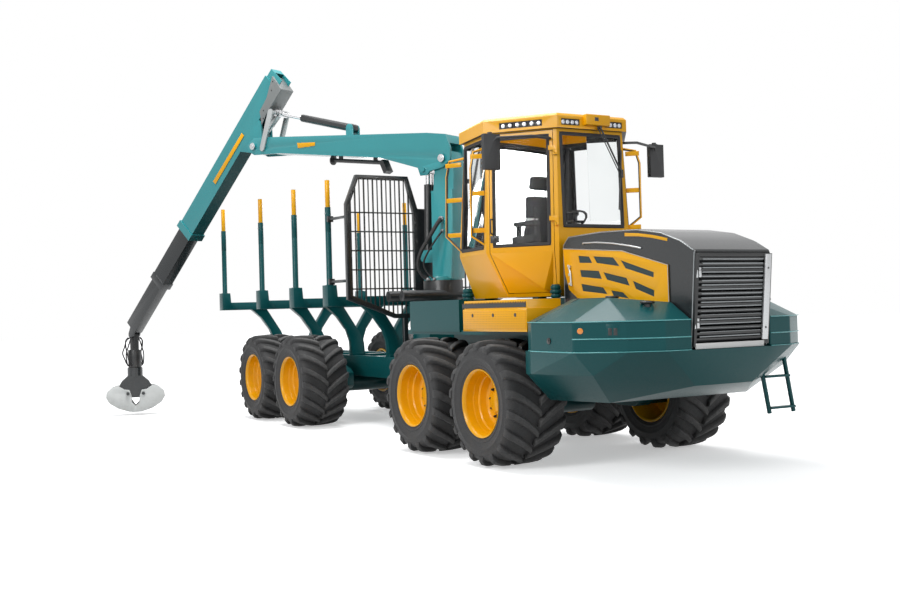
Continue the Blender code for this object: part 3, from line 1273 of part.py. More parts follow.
def build_engine():
    """The engine as a plain block on the frame inside the hood."""
    half = ENGINE_HALF_WIDTH
    pieces = [block((ENGINE_START, -half, FRONT_FRAME_TOP + TOUCH), (ENGINE_END, half, ENGINE_TOP))]
    finish("engine", "steel", pieces, (), STEER)


# Cab

def inset_plan(corners, inset):
    """A convex plan with every edge moved inwards."""
    count = len(corners)
    lines = []
    for i in range(count):
        (x0, y0), (x1, y1) = corners[i], corners[(i + 1) % count]
        length = math.hypot(x1 - x0, y1 - y0)
        nx, ny = -(y1 - y0) / length, (x1 - x0) / length
        lines.append((nx, ny, nx * x0 + ny * y0 + inset))
    result = []
    for i in range(count):
        a, b, c = lines[i - 1]
        d, e, f = lines[i]
        det = a * e - b * d
        result.append(((c * e - b * f) / det, (a * f - c * d) / det))
    return result


def cab_plan(level):
    """The six corners of the cab's plan at one level, anticlockwise from the right front."""
    z, front_x, front_y, side_x, side_y, back_x, back_y = level
    return [(front_x, -front_y), (front_x, front_y), (side_x, side_y), (back_x, back_y),
            (back_x, -back_y), (side_x, -side_y)]


def cab_solid(inset=0.0, floor_lift=0.0, head=0.0):
    points = []
    for number, level in enumerate(CAB_LEVELS):
        z = level[0] + (floor_lift if number == 0 else 0) + (head if number == len(CAB_LEVELS) - 1 else 0)
        points.extend((x, y, z) for x, y in inset_plan(cab_plan(level), inset))
    return hull(points)


def face_prism(face, left, right, low, high, shrink=0.0, foot_right=None, depth=None):
    """A cutter square to one of the cab's faces; left and right run along the face at the sill."""
    plan = cab_plan(CAB_LEVELS[1])
    start, end = Vector(plan[face]), Vector(plan[(face + 1) % len(plan)])
    along = (end - start).normalized()
    turn = math.atan2(along.y, along.x)
    left, right, low, high = left + shrink, right - shrink, low + shrink, high - shrink
    outline = box_outline(left, right, low, high)
    if foot_right is not None:
        outline = [(left, low), (foot_right - shrink, low), (right, CAB_SILL), (right, high), (left, high)]
    cutter = plate(outline, "XZ", -FACE_REACH if depth is None else -depth, FACE_REACH)
    return moved(cutter, Matrix.Translation((start.x, start.y, 0)) @ Matrix.Rotation(turn, 4, "Z"))


def window_cutters(rows, shrink=0.0):
    return [face_prism(face, left, face_length(face) - right, low, high, shrink)
            for face, left, right, low, high in rows]


def door_prism(shrink=0.0):
    """The door's outline: upright above the sill, running forwards below it."""
    length = face_length(DOOR_FACE)
    left, right = DOOR_LATCH_SET, length - DOOR_HINGE_X
    plan = cab_plan(CAB_LEVELS[1])
    start, end = Vector(plan[DOOR_FACE]), Vector(plan[0])
    along = (end - start).normalized()
    turn = math.atan2(along.y, along.x)
    left, right = left + shrink, right - shrink
    low, high = DOOR_BOTTOM + shrink, DOOR_TOP - shrink
    outline = [(left + DOOR_FOOT_SET, low), (right, low), (right, high), (left, high), (left, CAB_SILL)]
    cutter = plate(outline, "XZ", -FACE_REACH, FACE_REACH)
    return moved(cutter, Matrix.Translation((start.x, start.y, 0)) @ Matrix.Rotation(turn, 4, "Z"))


def face_length(face):
    plan = cab_plan(CAB_LEVELS[1])
    return (Vector(plan[(face + 1) % len(plan)]) - Vector(plan[face])).length


def door_window(shrink=0.0):
    length = face_length(DOOR_FACE)
    left, right = DOOR_LATCH_SET + DOOR_FRAME, length - DOOR_HINGE_X - DOOR_FRAME
    return face_prism(DOOR_FACE, left, right, DOOR_WINDOW_LOW, DOOR_TOP - DOOR_FRAME, shrink)


def build_cab_shell():
    """The hollow cab with its roof, windows and door opening, and its grab rails."""
    openings = window_cutters(CAB_WINDOWS) + [door_prism()]
    walls = cut(cab_solid(), [cab_solid(CAB_WALL, CAB_WALL, OVERLAP)] + openings)
    rim = inset_plan(cab_plan(CAB_LEVELS[-1]), -ROOF_OVERHANG)
    cap = inset_plan(cab_plan(CAB_LEVELS[-1]), -ROOF_OVERHANG + ROOF_CROWN)
    roof = hull([(x, y, ROOF_BOTTOM) for x, y in rim] + [(x, y, ROOF_TOP - ROOF_CROWN) for x, y in rim]
                + [(x, y, ROOF_TOP) for x, y in cap])
    ceiling = inset_plan(cab_plan(CAB_LEVELS[-1]), CAB_WALL)
    hollow = hull([(x, y, z) for x, y in ceiling for z in (ROOF_BOTTOM - OVERRUN, ROOF_TOP - CAB_WALL)])
    cutters = [hollow] + lamp_recesses()
    pieces = [walls, roof] + rails(CAB_RAILS) + knuckles(0, SHELL_LEAF)
    finish("cab_shell", "yellow", pieces, cutters, STEER)


def lamp_recesses():
    """Shallow recesses for the work lamps in the roof's edge."""
    cutters = []
    edge = inset_plan(cab_plan(CAB_LEVELS[-1]), -ROOF_OVERHANG)
    for face, left_share, right_share in ROOF_LAMP_SHARES:
        start, end = Vector(edge[face]), Vector(edge[(face + 1) % len(edge)])
        length = (end - start).length
        turn = math.atan2(end.y - start.y, end.x - start.x)
        outline = box_outline(left_share * length, right_share * length,
                              ROOF_BOTTOM + LAMP_RIM, ROOF_TOP - ROOF_CROWN - LAMP_RIM)
        cutter = plate(outline, "XZ", -LAMP_RECESS, OVERRUN)
        place = Matrix.Translation((start.x, start.y, 0)) @ Matrix.Rotation(turn, 4, "Z")
        cutters.append(moved(cutter, place @ Matrix.Diagonal((1, -1, 1, 1))))
    return cutters


def rails(rows):
    """Grab rails as tubes through their points."""
    return [pipe(points, RAIL_RADIUS, 1) for points in rows]


def hinge_point(height):
    """The door hinge's place at a height, just outside the cab's right front corner."""
    share = (height - CAB_LEVELS[1][0]) / (CAB_LEVELS[2][0] - CAB_LEVELS[1][0])
    x, y = (CAB_LEVELS[1][i] + share * (CAB_LEVELS[2][i] - CAB_LEVELS[1][i]) for i in (1, 2))
    return x + DOOR_PIN_OUT, -y - DOOR_PIN_OUT, height


def knuckles(lift, reach):
    """One knuckle of each door hinge, with the leaf that runs from it towards the cab's side by reach."""
    plan = cab_plan(CAB_LEVELS[1])
    along = (Vector(plan[DOOR_FACE]) - Vector(plan[0])).normalized()
    turn = math.atan2(along.y, along.x)
    pieces = []
    for height in DOOR_HINGES:
        low, high = height + lift, height + lift + KNUCKLE_LENGTH
        pieces.append(rod(hinge_point(low), hinge_point(high), KNUCKLE_RADIUS, 12))
        leaf = block((0, -KNUCKLE_RADIUS / 2, low), (reach, LEAF_DEPTH, high))
        x, y, _ = hinge_point(height)
        place = Matrix.Translation((x, y, 0)) @ Matrix.Rotation(turn, 4, "Z")
        pieces.append(moved(leaf, place @ Matrix.Diagonal((1, -1, 1, 1))))
    return pieces


def build_door():
    """The door on the right: a slice of the cab's skin with its own window, glass and hinge leaves."""
    skin = cut(cab_solid(), [cab_solid(DOOR_THICKNESS)])
    panel = meet(skin, door_prism(DOOR_GAP))
    clear = cut(cab_solid(-CLEAR), [door_prism(DOOR_GAP)])
    leaves = cut(union(knuckles(KNUCKLE_LENGTH + 2 * PIN_GAP, DOOR_LEAF)),
                 [clear, cab_solid(DOOR_THICKNESS - OVERLAP)])
    finish("door", "yellow", [panel, leaves], [door_window()], DOOR)
    pane = cut(cab_solid(GLASS_DEPTH), [cab_solid(GLASS_DEPTH + GLASS_THICKNESS)])
    finish("door_glass", "glass", [meet(pane, door_window(TOUCH))], (), DOOR)
    mirror("right", -1, DOOR)


def build_glass():
    """The windscreen, and the panes behind the pillars as one bent band."""
    pane = cut(cab_solid(GLASS_DEPTH), [cab_solid(GLASS_DEPTH + GLASS_THICKNESS)])
    finish("windscreen", "glass", [meet(pane, window_cutters(CAB_WINDOWS[:1], TOUCH)[0])], (), STEER)
    inside = CAB_WALL + TOUCH
    band = cut(cab_solid(inside), [cab_solid(inside + GLASS_THICKNESS)])
    keep = plate(GLASS_KEEP, "XY", GLASS_LOW, GLASS_HIGH)
    finish("cab_glass", "glass", [meet(band, keep)], (), STEER)


def mirror(name, side, carrier):
    """A mirror head on its bent arm."""
    arm = [(x, side * y, z) for x, y, z in MIRROR_ARM]
    x, y, z = MIRROR_CENTRE
    low = (x - MIRROR_DEPTH / 2, side * y - MIRROR_WIDTH / 2, z - MIRROR_HEIGHT / 2)
    high = (x + MIRROR_DEPTH / 2, side * y + MIRROR_WIDTH / 2, z + MIRROR_HEIGHT / 2)
    finish(f"mirror_{name}", "black", [block(low, high), pipe(arm, RAIL_RADIUS, 1)], [cab_solid(-TOUCH)], carrier)


def build_interior():
    """Floor, seat base, armrests, steering column with its wheel, and the seat's cushions."""
    floor = CAB_FLOOR + CAB_WALL + TOUCH
    plan = inset_plan(cab_plan(CAB_LEVELS[0]), CAB_WALL + CLEAR)
    pieces = [plate(plan, "XY", floor, floor + FLOOR_MAT)]
    for x0, x1, y0, y1, z0, z1 in INTERIOR_BLOCK_SHARES:
        pieces.append(block(*by_seat(((x0, y0, z0), (x1, y1, z1)))))
    pieces.append(rod(COLUMN_FOOT, COLUMN_HEAD, COLUMN_RADIUS, 10))
    lean = Vector(COLUMN_HEAD) - Vector(COLUMN_FOOT)
    turn = lean.to_track_quat("Z", "Y").to_matrix().to_4x4()
    rim = [(WHEEL_RIM_RADIUS, -WHEEL_RIM_TUBE), (WHEEL_RIM_RADIUS - WHEEL_RIM_TUBE, 0),
           (WHEEL_RIM_RADIUS, WHEEL_RIM_TUBE), (WHEEL_RIM_RADIUS + WHEEL_RIM_TUBE, 0)]
    pieces.append(moved(turned(rim[::-1], 16, ring=True), Matrix.Translation(COLUMN_HEAD) @ turn))
    spoke = block((-WHEEL_RIM_RADIUS, -WHEEL_RIM_TUBE, -WHEEL_RIM_TUBE / 2),
                  (WHEEL_RIM_RADIUS, WHEEL_RIM_TUBE, WHEEL_RIM_TUBE / 2))
    pieces.append(moved(spoke, Matrix.Translation(COLUMN_HEAD) @ turn))
    finish("cab_interior", "black", pieces, (), STEER)
    half = SEAT_WIDTH / 2
    for name, outline in (("seat_cushion", SEAT_CUSHION), ("seat_back", SEAT_BACK)):
        finish(name, "cloth", [plate(outline, "XZ", -half, half)], (), STEER)


# Crane, all in its own plane: X outwards from the slewing axis, Y sideways

def on_beam(along, up):
    """A point given along the stick from the elbow and square to it."""
    direction = stick_direction()
    normal = (-direction[1], direction[0])
    return (ELBOW_PIN[0] + direction[0] * along + normal[0] * up,
            ELBOW_PIN[1] + direction[1] * along + normal[1] * up)


def stick_direction():
    across, down = STICK_FRONT[0] - STICK_BACK[0], STICK_FRONT[1] - STICK_BACK[1]
    length = math.hypot(across, down)
    return across / length, down / length


def beam(start, end, low, high, half):
    """A straight box along the stick, from low to high square to it."""
    corners = [on_beam(start, low), on_beam(end, low), on_beam(end, high), on_beam(start, high)]
    return plate(corners, "XZ", -half, half)


def pin(place, half, radius=None, sides=12):
    radius = CRANE_PIN_RADIUS if radius is None else radius
    return rod((place[0], -half, place[1]), (place[0], half, place[1]), radius, sides)


def pin_bore(place, half, radius=None):
    radius = CRANE_PIN_RADIUS if radius is None else radius
    return bore((place[0], -half, place[1]), (place[0], half, place[1]), radius, 12)


def build_column():
    low = SLEW_BASE_TOP + TOUCH
    pieces = [rod((0, 0, low), (0, 0, low + COLUMN_FLANGE), COLUMN_FLANGE_RADIUS, 20)]
    pieces.append(plate(COLUMN_OUTLINE, "XZ", -COLUMN_HALF, COLUMN_HALF))
    pieces.append(plate(COLUMN_HEAD_OUTLINE, "XZ", -COLUMN_HEAD_HALF, COLUMN_HEAD_HALF))
    ear = bar_outline((COLUMN_OUTLINE[1][0] - OVERRUN, LIFT_FOOT[1]), LIFT_FOOT, LIFT_EAR_RADIUS)
    ear_low = LIFT_CROSS_HALF + PIN_GAP
    for side in (-1, 1):
        faces = sorted((side * ear_low, side * (ear_low + EAR_THICKNESS)))
        pieces.append(plate(ear, "XZ", *faces))
    pieces.append(pin(ROOT_PIN, BOOM_HALF + PIN_HEAD))
    finish("column", "crane_teal", pieces, (), CRANE)


def cylinder_barrel(name, foot, head, length, rows, carrier, cross_half):
    """Barrels on a foot that turns about Y; rows give each barrel's place across the crane."""
    lean = math.atan2(head[1] - foot[1], head[0] - foot[0])
    place_it = Matrix.Translation((foot[0], 0, foot[1])) @ Matrix.Rotation(math.pi / 2 - lean, 4, "Y")
    pieces = [moved(rod((0, -cross_half, 0), (0, cross_half, 0), BARREL_FOOT_RADIUS, 12), place_it)]
    cutters = []
    for y in rows:
        pieces.append(moved(rod((0, y, BARREL_START), (0, y, length), BARREL_RADIUS, 12), place_it))
        hole = bore((0, y, BARREL_FOOT_RADIUS + OVERLAP), (0, y, length + OVERRUN), ROD_RADIUS, 12)
        cutters.append(moved(hole, place_it))
    finish(name, "black", pieces, cutters, carrier, (foot[0], 0, foot[1]))


def cylinder_rod(name, foot, head, reach, rows, carrier, cross_half, fork=None):
    """Rods that reach down from their head towards the barrel's foot."""
    lean = math.atan2(head[1] - foot[1], head[0] - foot[0])
    place_it = Matrix.Translation((foot[0], 0, foot[1])) @ Matrix.Rotation(math.pi / 2 - lean, 4, "Y")
    length = math.hypot(head[0] - foot[0], head[1] - foot[1])
    pieces = [moved(rod((0, -cross_half, length), (0, cross_half, length), ROD_HEAD_RADIUS, 12), place_it)]
    for y in rows:
        pieces.append(moved(rod((0, y, length), (0, y, length - reach), ROD_RADIUS, 12), place_it))
    cutters = []
    if fork is not None:
        low = (-ROD_HEAD_RADIUS - OVERRUN, -fork, length - ROD_HEAD_RADIUS - FORK_GAP)
        high = (ROD_HEAD_RADIUS + OVERRUN, fork, length + ROD_HEAD_RADIUS + OVERRUN)
        cutters.append(moved(block(low, high), place_it))
        root = block((-ROD_HEAD_RADIUS, -cross_half, length - ROD_HEAD_RADIUS - 2 * FORK_GAP),
                     (ROD_HEAD_RADIUS, cross_half, length))
        pieces.append(moved(root, place_it))
    finish(name, "steel", pieces, cutters, carrier, (foot[0], 0, foot[1]))


def boom_lamp():
    """A bar hung under the boom, with a disc at its far end and a work lamp at its near end."""
    pieces = [rod(at_reach(BAR_START), at_reach(BAR_END), BAR_RADIUS, 10)]
    pieces.append(rod(at_reach(BAR_END - OVERLAP), at_reach(BAR_END), DISC_RADIUS, 16))
    for reach in (BAR_START + BAR_HANGER_SET, BAR_END - BAR_HANGER_SET):
        x, _, z = at_reach(reach)
        low = (x - BAR_RADIUS, -BAR_RADIUS / 2, z)
        pieces.append(block(low, (x + BAR_RADIUS, BAR_RADIUS / 2, z + BAR_DROP + OVERLAP)))
    x, _, z = at_reach(BAR_START)
    case = block((-LAMP_DEPTH / 2, -LAMP_HALF, -LAMP_HEIGHT), (LAMP_DEPTH / 2, LAMP_HALF, BAR_RADIUS))
    pieces.append(moved(case, Matrix.Translation((x, 0, z)) @ Matrix.Rotation(math.radians(LAMP_TILT_DEG), 4, "Y")))
    return pieces


def at_reach(reach):
    """The bar's axis under the boom at a reach."""
    (x0, z0), (x1, z1) = BOOM_OUTLINE[BOOM_BELLY], BOOM_OUTLINE[BOOM_BELLY + 1]
    return reach, 0, z0 + (z1 - z0) * (reach - x0) / (x1 - x0) - BAR_DROP


def build_boom():
    pieces = [plate(BOOM_OUTLINE, "XZ", -BOOM_HALF, BOOM_HALF)] + boom_lamp()
    ear = bar_outline((STICK_CYLINDER_FOOT[0], STICK_CYLINDER_FOOT[1] - EAR_DROP), STICK_CYLINDER_FOOT, EAR_RADIUS)
    ear_low = STICK_CROSS_HALF + PIN_GAP
    for side in (-1, 1):
        faces = sorted((side * ear_low, side * (ear_low + EAR_THICKNESS)))
        pieces.append(plate(ear, "XZ", *faces))
    pieces.append(pin(LIFT_HEAD, BOOM_HALF + PIN_HEAD))
    cutters = [plate(BOOM_ROOT_SLOT, "XZ", -BOOM_SLOT_HALF, BOOM_SLOT_HALF)]
    cutters.append(plate(BOOM_TIP_SLOT, "XZ", -BOOM_SLOT_HALF, BOOM_SLOT_HALF))
    cutters.append(pin_bore(ROOT_PIN, BOOM_HALF + OVERRUN))
    cutters.append(pin_bore(LINK_A_FOOT, BOOM_HALF + OVERRUN, LINK_SHAFT_RADIUS))
    solid = cut(union(pieces), cutters)
    finish("boom", "crane_teal", [solid, pin(ELBOW_PIN, BOOM_HALF + PIN_HEAD)], (), BOOM,
           (ROOT_PIN[0], 0, ROOT_PIN[1]))


def build_links():
    outline = bar_outline(LINK_A_FOOT, LINK_PIN, LINK_HALF)
    low = BOOM_HALF + CLEAR
    high = low + EAR_THICKNESS
    pieces = [pin(LINK_A_FOOT, high, LINK_SHAFT_RADIUS)]
    for side in (-1, 1):
        pieces.append(plate(outline, "XZ", *sorted((side * low, side * high))))
        stub = STICK_CYLINDER_HEAD_HALF + CLEAR
        start, end = (LINK_PIN[0], side * stub, LINK_PIN[1]), (LINK_PIN[0], side * high, LINK_PIN[1])
        pieces.append(rod(start, end, LINK_SHAFT_RADIUS, 12))
    finish("link_boom", "crane_teal", pieces, (), LINK_A, (LINK_A_FOOT[0], 0, LINK_A_FOOT[1]))
    outline = bar_outline(LINK_B_FOOT, LINK_PIN, LINK_HALF)
    half = ROD_FORK_HALF - CLEAR
    pieces = [plate(outline, "XZ", -half, half)]
    pieces.append(pin(LINK_B_FOOT, STICK_EAR_HALF - PIN_GAP, LINK_HALF))
    finish("link_stick", "crane_teal", pieces, (), LINK_B, (LINK_B_FOOT[0], 0, LINK_B_FOOT[1]))


def build_stick():
    low, high = STICK_LOW, STICK_LOW + STICK_DEPTH
    half = STICK_HALF
    pieces = [beam(STICK_TAIL, STICK_NOSE, low, high, half)]
    pieces.append(beam(STICK_NOSE - COLLAR, STICK_NOSE + TOUCH, low - COLLAR_RIM, high + COLLAR_RIM,
                       half + COLLAR_RIM))
    pieces.append(beam(STICK_TAIL - COVER, STICK_TAIL + COVER, low + COLLAR_RIM, high - COLLAR_RIM,
                       half - COLLAR_RIM))
    bracket = plate(STICK_BRACKET, "XZ", -half, half)
    pieces.append(bracket)
    wall = STICK_WALL
    cutters = [beam(STICK_TAIL + wall, STICK_NOSE + OVERRUN, low + wall, high - wall, half - wall)]
    cutters.append(beam(STICK_TAIL - COVER - OVERRUN, LINK_SLOT_END, low - STICK_SLOT_DROP,
                        low + STICK_SLOT_DEPTH, STICK_EAR_HALF))
    cutters.append(pin_bore(ELBOW_PIN, half + OVERRUN))
    finish("stick", "crane_teal", pieces, cutters, STICK, (ELBOW_PIN[0], 0, ELBOW_PIN[1]))


def build_extensions():
    gap = STICK_WALL + PIN_GAP
    low, high, half = STICK_LOW + gap, STICK_LOW + STICK_DEPTH - gap, STICK_HALF - gap
    pieces = [beam(EXTENSION_1_TAIL, EXTENSION_1_NOSE, low, high, half)]
    pieces.append(beam(EXTENSION_1_NOSE - COLLAR, EXTENSION_1_NOSE + TOUCH, low - COLLAR_RIM / 2,
                       high + COLLAR_RIM / 2, half + COLLAR_RIM / 2))
    hole = beam(EXTENSION_1_TAIL - OVERRUN, EXTENSION_1_NOSE + OVERRUN, low + STICK_WALL, high - STICK_WALL,
                half - STICK_WALL)
    finish("extension_1", "charcoal", pieces, [hole], EXTENSION_1)
    low, high, half = low + gap, high - gap, half - gap
    pieces = [beam(EXTENSION_2_TAIL, EXTENSION_2_NOSE, low, high, half)]
    ear = bar_outline(on_beam(EXTENSION_2_NOSE - COLLAR, (low + high) / 2), TIP_PIN, EAR_RADIUS)
    face = TIP_HALF + PIN_GAP
    for side in (-1, 1):
        pieces.append(plate(ear, "XZ", *sorted((side * face, side * (face + EAR_THICKNESS)))))
    finish("extension_2", "charcoal", pieces, (), EXTENSION_2)


def build_grapple():
    """Link and rotator, grapple body and two claws that close past each other."""
    x, z = TIP_PIN
    outline = bar_outline(TIP_PIN, (x, z - LINK_DROP), TIP_LINK_WIDTH)
    pieces = [plate(outline, "XZ", -TIP_HALF, TIP_HALF)]
    pieces.append(rod((x, 0, z - LINK_DROP), (x, 0, ROTATOR_BOTTOM), ROTATOR_RADIUS, 16))
    finish("tip_link", "black", pieces, (), TIP, (x, 0, z))
    top = ROTATOR_BOTTOM - PIN_GAP
    body = [rod((0, 0, top), (0, 0, GRAPPLE_TOP - OVERLAP), ROTATOR_RADIUS * FLANGE_SHARE, 16)]
    body.append(plate(GRAPPLE_DOME, "XZ", -GRAPPLE_BODY_HALF, GRAPPLE_BODY_HALF))
    body.append(plate(GRAPPLE_BODY, "XZ", -GRAPPLE_BODY_HALF, GRAPPLE_BODY_HALF))
    for sign in (-1, 1):
        body.append(pin((sign * CLAW_PIVOT[0], CLAW_PIVOT[1]), CLAW_OUTER_FACE + PIN_HEAD, CLAW_PIN_RADIUS))
    finish("grapple_body", "charcoal", body, (), GRAPPLE)
    for name, sign, face in (("claw_a", 1, CLAW_OUTER_FACE - CLAW_PLATE), ("claw_b", -1, CLAW_INNER_FACE - CLAW_PLATE)):
        outline = [(sign * h, z) for h, z in CLAW_OUTLINE]
        pan = [(sign * h, z) for h, z in claw_pan()]
        pieces = [plate(outline, "XZ", -face - CLAW_PLATE, -face), plate(outline, "XZ", face, face + CLAW_PLATE)]
        pieces.append(plate(pan, "XZ", -face - OVERLAP / 4, face + OVERLAP / 4))
        pivot = (sign * CLAW_PIVOT[0], CLAW_PIVOT[1])
        cutter = pin_bore(pivot, CLAW_OUTER_FACE + OVERRUN, CLAW_PIN_RADIUS)
        finish(name, "claw", pieces, [cutter], GRAPPLE, (pivot[0], 0, pivot[1]))


def claw_pan():
    """The claw's bent bottom sheet between its side plates, along part of their outer edge."""
    outer = CLAW_OUTLINE[CLAW_PAN_FIRST:CLAW_PAN_LAST]
    inner = [(h * CLAW_PAN_SHARE + CLAW_PIVOT[0] * (1 - CLAW_PAN_SHARE),
              z * CLAW_PAN_SHARE + CLAW_PIVOT[1] * (1 - CLAW_PAN_SHARE))
             for h, z in outer]
    outer = [(h * CLAW_RIM_SHARE + CLAW_PIVOT[0] * (1 - CLAW_RIM_SHARE),
              z * CLAW_RIM_SHARE + CLAW_PIVOT[1] * (1 - CLAW_RIM_SHARE))
             for h, z in outer]
    return outer + inner[::-1]


def recentre():
    """Stand the machine with the middle of its bounding box on the origin."""
    bpy.context.view_layer.update()
    corners = [node.matrix_world @ vertex.co for node in MACHINE.objects if node.type == "MESH"
               for vertex in node.data.vertices]
    for axis in (0, 1):
        values = [corner[axis] for corner in corners]
        ORIGIN.location[axis] = -(min(values) + max(values)) / 2
    bpy.context.view_layer.update()


PLACES = {}
MACHINE, HELPERS = start_scene()
ORIGIN = empty("machine_origin", (0, 0, 0))
STEER = empty("steering_pivot", (JOINT_X, 0, 0), ORIGIN)
DOOR = empty("door_hinge", hinge_point(CAB_SILL), STEER)
CRANE = empty("crane_slew", (SLEW_X, 0, 0), ORIGIN, math.radians(CRANE_HEADING_DEG), "Z", True)
BOOM = empty("boom_root", (ROOT_PIN[0], 0, ROOT_PIN[1]), CRANE)
LINK_A = empty("link_boom_foot", (LINK_A_FOOT[0], 0, LINK_A_FOOT[1]), BOOM)
STICK = empty("elbow", (ELBOW_PIN[0], 0, ELBOW_PIN[1]), BOOM)
LINK_B = empty("link_stick_foot", (LINK_B_FOOT[0], 0, LINK_B_FOOT[1]), STICK)
EXTENSION_1 = empty("extension_slide_1", (ELBOW_PIN[0], 0, ELBOW_PIN[1]), STICK)
EXTENSION_2 = empty("extension_slide_2", (ELBOW_PIN[0], 0, ELBOW_PIN[1]), EXTENSION_1)
TIP = empty("tip", (TIP_PIN[0], 0, TIP_PIN[1]), EXTENSION_2)
GRAPPLE = empty("grapple_turn", (TIP_PIN[0], 0, 0), TIP, math.radians(GRAPPLE_HEADING_DEG - CRANE_HEADING_DEG), "Z", True)


def main():
    build_wheels()
    build_axle("rear_axle", -WHEELBASE / 2)
    build_axle("front_axle", WHEELBASE / 2)
    build_rear_frame()
    for number, x in enumerate(BOLSTER_XS, 1):
        build_bolster(number, x)
    build_headboard()
    build_slew_base()
    build_front_frame()
    build_tanks()
    build_step_boxes()
    build_hood()
    build_hood_panels()
    build_grille()
    build_engine()
    build_cab_shell()
    build_door()
    build_glass()
    mirror("left", 1, STEER)
    build_interior()
    build_column()
    cylinder_barrel("lift_barrels", LIFT_FOOT, LIFT_HEAD, LIFT_BARREL_LENGTH, LIFT_ROWS, CRANE, LIFT_CROSS_HALF)
    cylinder_rod("lift_rods", LIFT_FOOT, LIFT_HEAD, LIFT_ROD_REACH, LIFT_ROWS, CRANE, LIFT_CROSS_HALF)
    build_boom()
    cylinder_barrel("stick_barrel", STICK_CYLINDER_FOOT, LINK_PIN, STICK_BARREL_LENGTH, STICK_ROWS, CRANE, STICK_CROSS_HALF)
    cylinder_rod("stick_rod", STICK_CYLINDER_FOOT, LINK_PIN, STICK_ROD_REACH, STICK_ROWS, CRANE,
                 STICK_CYLINDER_HEAD_HALF, ROD_FORK_HALF)
    build_links()
    build_stick()
    build_extensions()
    build_grapple()
    recentre()


main()
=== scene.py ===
# %% [markdown]
# # Forestry forwarder
# An eight-wheel forwarder carries logs out of the forest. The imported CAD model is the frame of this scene:
# it holds every size, every joint and the place of each piece. This notebook dresses that frame. It rounds the
# edges of the sheet metal, builds the tyres, rims, seat, hoses, lamps and fittings, and paints it all.
# %% Load the frame
import json
import math

import bmesh
import bpy
from mathutils import Matrix, Vector


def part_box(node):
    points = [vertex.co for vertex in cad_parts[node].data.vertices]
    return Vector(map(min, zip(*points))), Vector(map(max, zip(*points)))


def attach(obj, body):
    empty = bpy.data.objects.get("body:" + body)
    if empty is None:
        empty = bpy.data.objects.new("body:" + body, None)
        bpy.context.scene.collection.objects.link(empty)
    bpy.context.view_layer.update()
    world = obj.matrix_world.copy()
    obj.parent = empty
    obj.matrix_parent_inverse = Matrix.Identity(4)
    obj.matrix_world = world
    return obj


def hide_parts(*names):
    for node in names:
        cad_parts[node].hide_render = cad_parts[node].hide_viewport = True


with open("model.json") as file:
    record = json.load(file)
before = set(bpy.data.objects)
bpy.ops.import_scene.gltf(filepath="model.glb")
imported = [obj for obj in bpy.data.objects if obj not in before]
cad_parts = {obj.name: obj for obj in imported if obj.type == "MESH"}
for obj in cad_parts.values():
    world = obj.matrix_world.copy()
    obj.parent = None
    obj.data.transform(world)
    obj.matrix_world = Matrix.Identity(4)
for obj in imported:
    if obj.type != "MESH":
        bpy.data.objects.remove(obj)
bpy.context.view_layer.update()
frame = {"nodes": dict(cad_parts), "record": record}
BODY_OF = {node: body for body, nodes in frame["record"]["behaviour"]["bodies"].items() for node in nodes}
SLOT_OF = {row["node"]: row["material_slot"] for row in frame["record"]["subparts"]}

# %% [markdown]
# The machine was drawn about a point midway between its bogies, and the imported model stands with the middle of
# its bounding box on the origin. Every place below is written in the machine's own numbers, and `at` moves it.
# %% Places
MACHINE_SHIFT = Vector((0.21878, 0.85183, 0.0))


def at(x, y, z):
    """A point of the machine in the frame's coordinates."""
    return Vector((x, y, z)) + MACHINE_SHIFT


def turn_z(degrees):
    return Matrix.Rotation(math.radians(degrees), 4, "Z")


print("the machine's own origin:", [round(v, 3) for v in MACHINE_SHIFT])

# %% [markdown]
# A few small helpers do what the hand does in Blender: drop the selection, pick one object, go in and out of
# edit mode, and select faces by where they lie.
# %% Modelling helpers


def clear():
    """Drop the selection, because an operator acts on all that is selected."""
    bpy.ops.object.select_all(action="DESELECT")


def only(thing):
    """Select one object and make it active."""
    clear()
    thing.select_set(True)
    bpy.context.view_layer.objects.active = thing


def named(name):
    """Name the primitive that was just added."""
    piece = bpy.context.object
    piece.name = name
    piece.data.name = name
    return piece


def added(name, data):
    """Put new mesh or curve data into the scene as an object."""
    piece = bpy.data.objects.new(name, data)
    bpy.context.scene.collection.objects.link(piece)
    return piece


def from_corners(name, corners, edges=(), faces=()):
    """An object from corner points and the edges or faces between them."""
    mesh = bpy.data.meshes.new(name)
    mesh.from_pydata([tuple(corner) for corner in corners], edges, faces)
    return added(name, mesh)


def edit(piece):
    only(piece)
    bpy.ops.object.mode_set(mode="EDIT")


def leave():
    bpy.ops.object.mode_set(mode="OBJECT")


def pick(piece, test, kind="FACE"):
    """In edit mode, select the faces (middle, normal) or edges (middle, run) that pass a test."""
    bpy.ops.mesh.select_mode(type=kind)
    bpy.ops.mesh.select_all(action="DESELECT")
    shape = bmesh.from_edit_mesh(piece.data)
    if kind == "FACE":
        for face in shape.faces:
            face.select = test(face.calc_center_median(), face.normal)
    else:
        for edge in shape.edges:
            first, second = (vert.co for vert in edge.verts)
            edge.select = test((first + second) / 2, second - first)
    shape.select_flush_mode()
    bmesh.update_edit_mesh(piece.data)


def settle(piece):
    """Put an object's place and turn into its mesh, so that it sits at the origin."""
    only(piece)
    bpy.ops.object.transform_apply(location=True, rotation=True, scale=True)
    return piece


def carry(piece, matrix):
    """Move a settled piece's mesh by a matrix."""
    piece.data.transform(matrix)
    if matrix.determinant() < 0:
        piece.data.flip_normals()
    return piece


def twin(piece, name, matrix=Matrix.Identity(4)):
    """A copy of a piece with a mesh of its own."""
    return carry(added(name, piece.data.copy()), matrix)


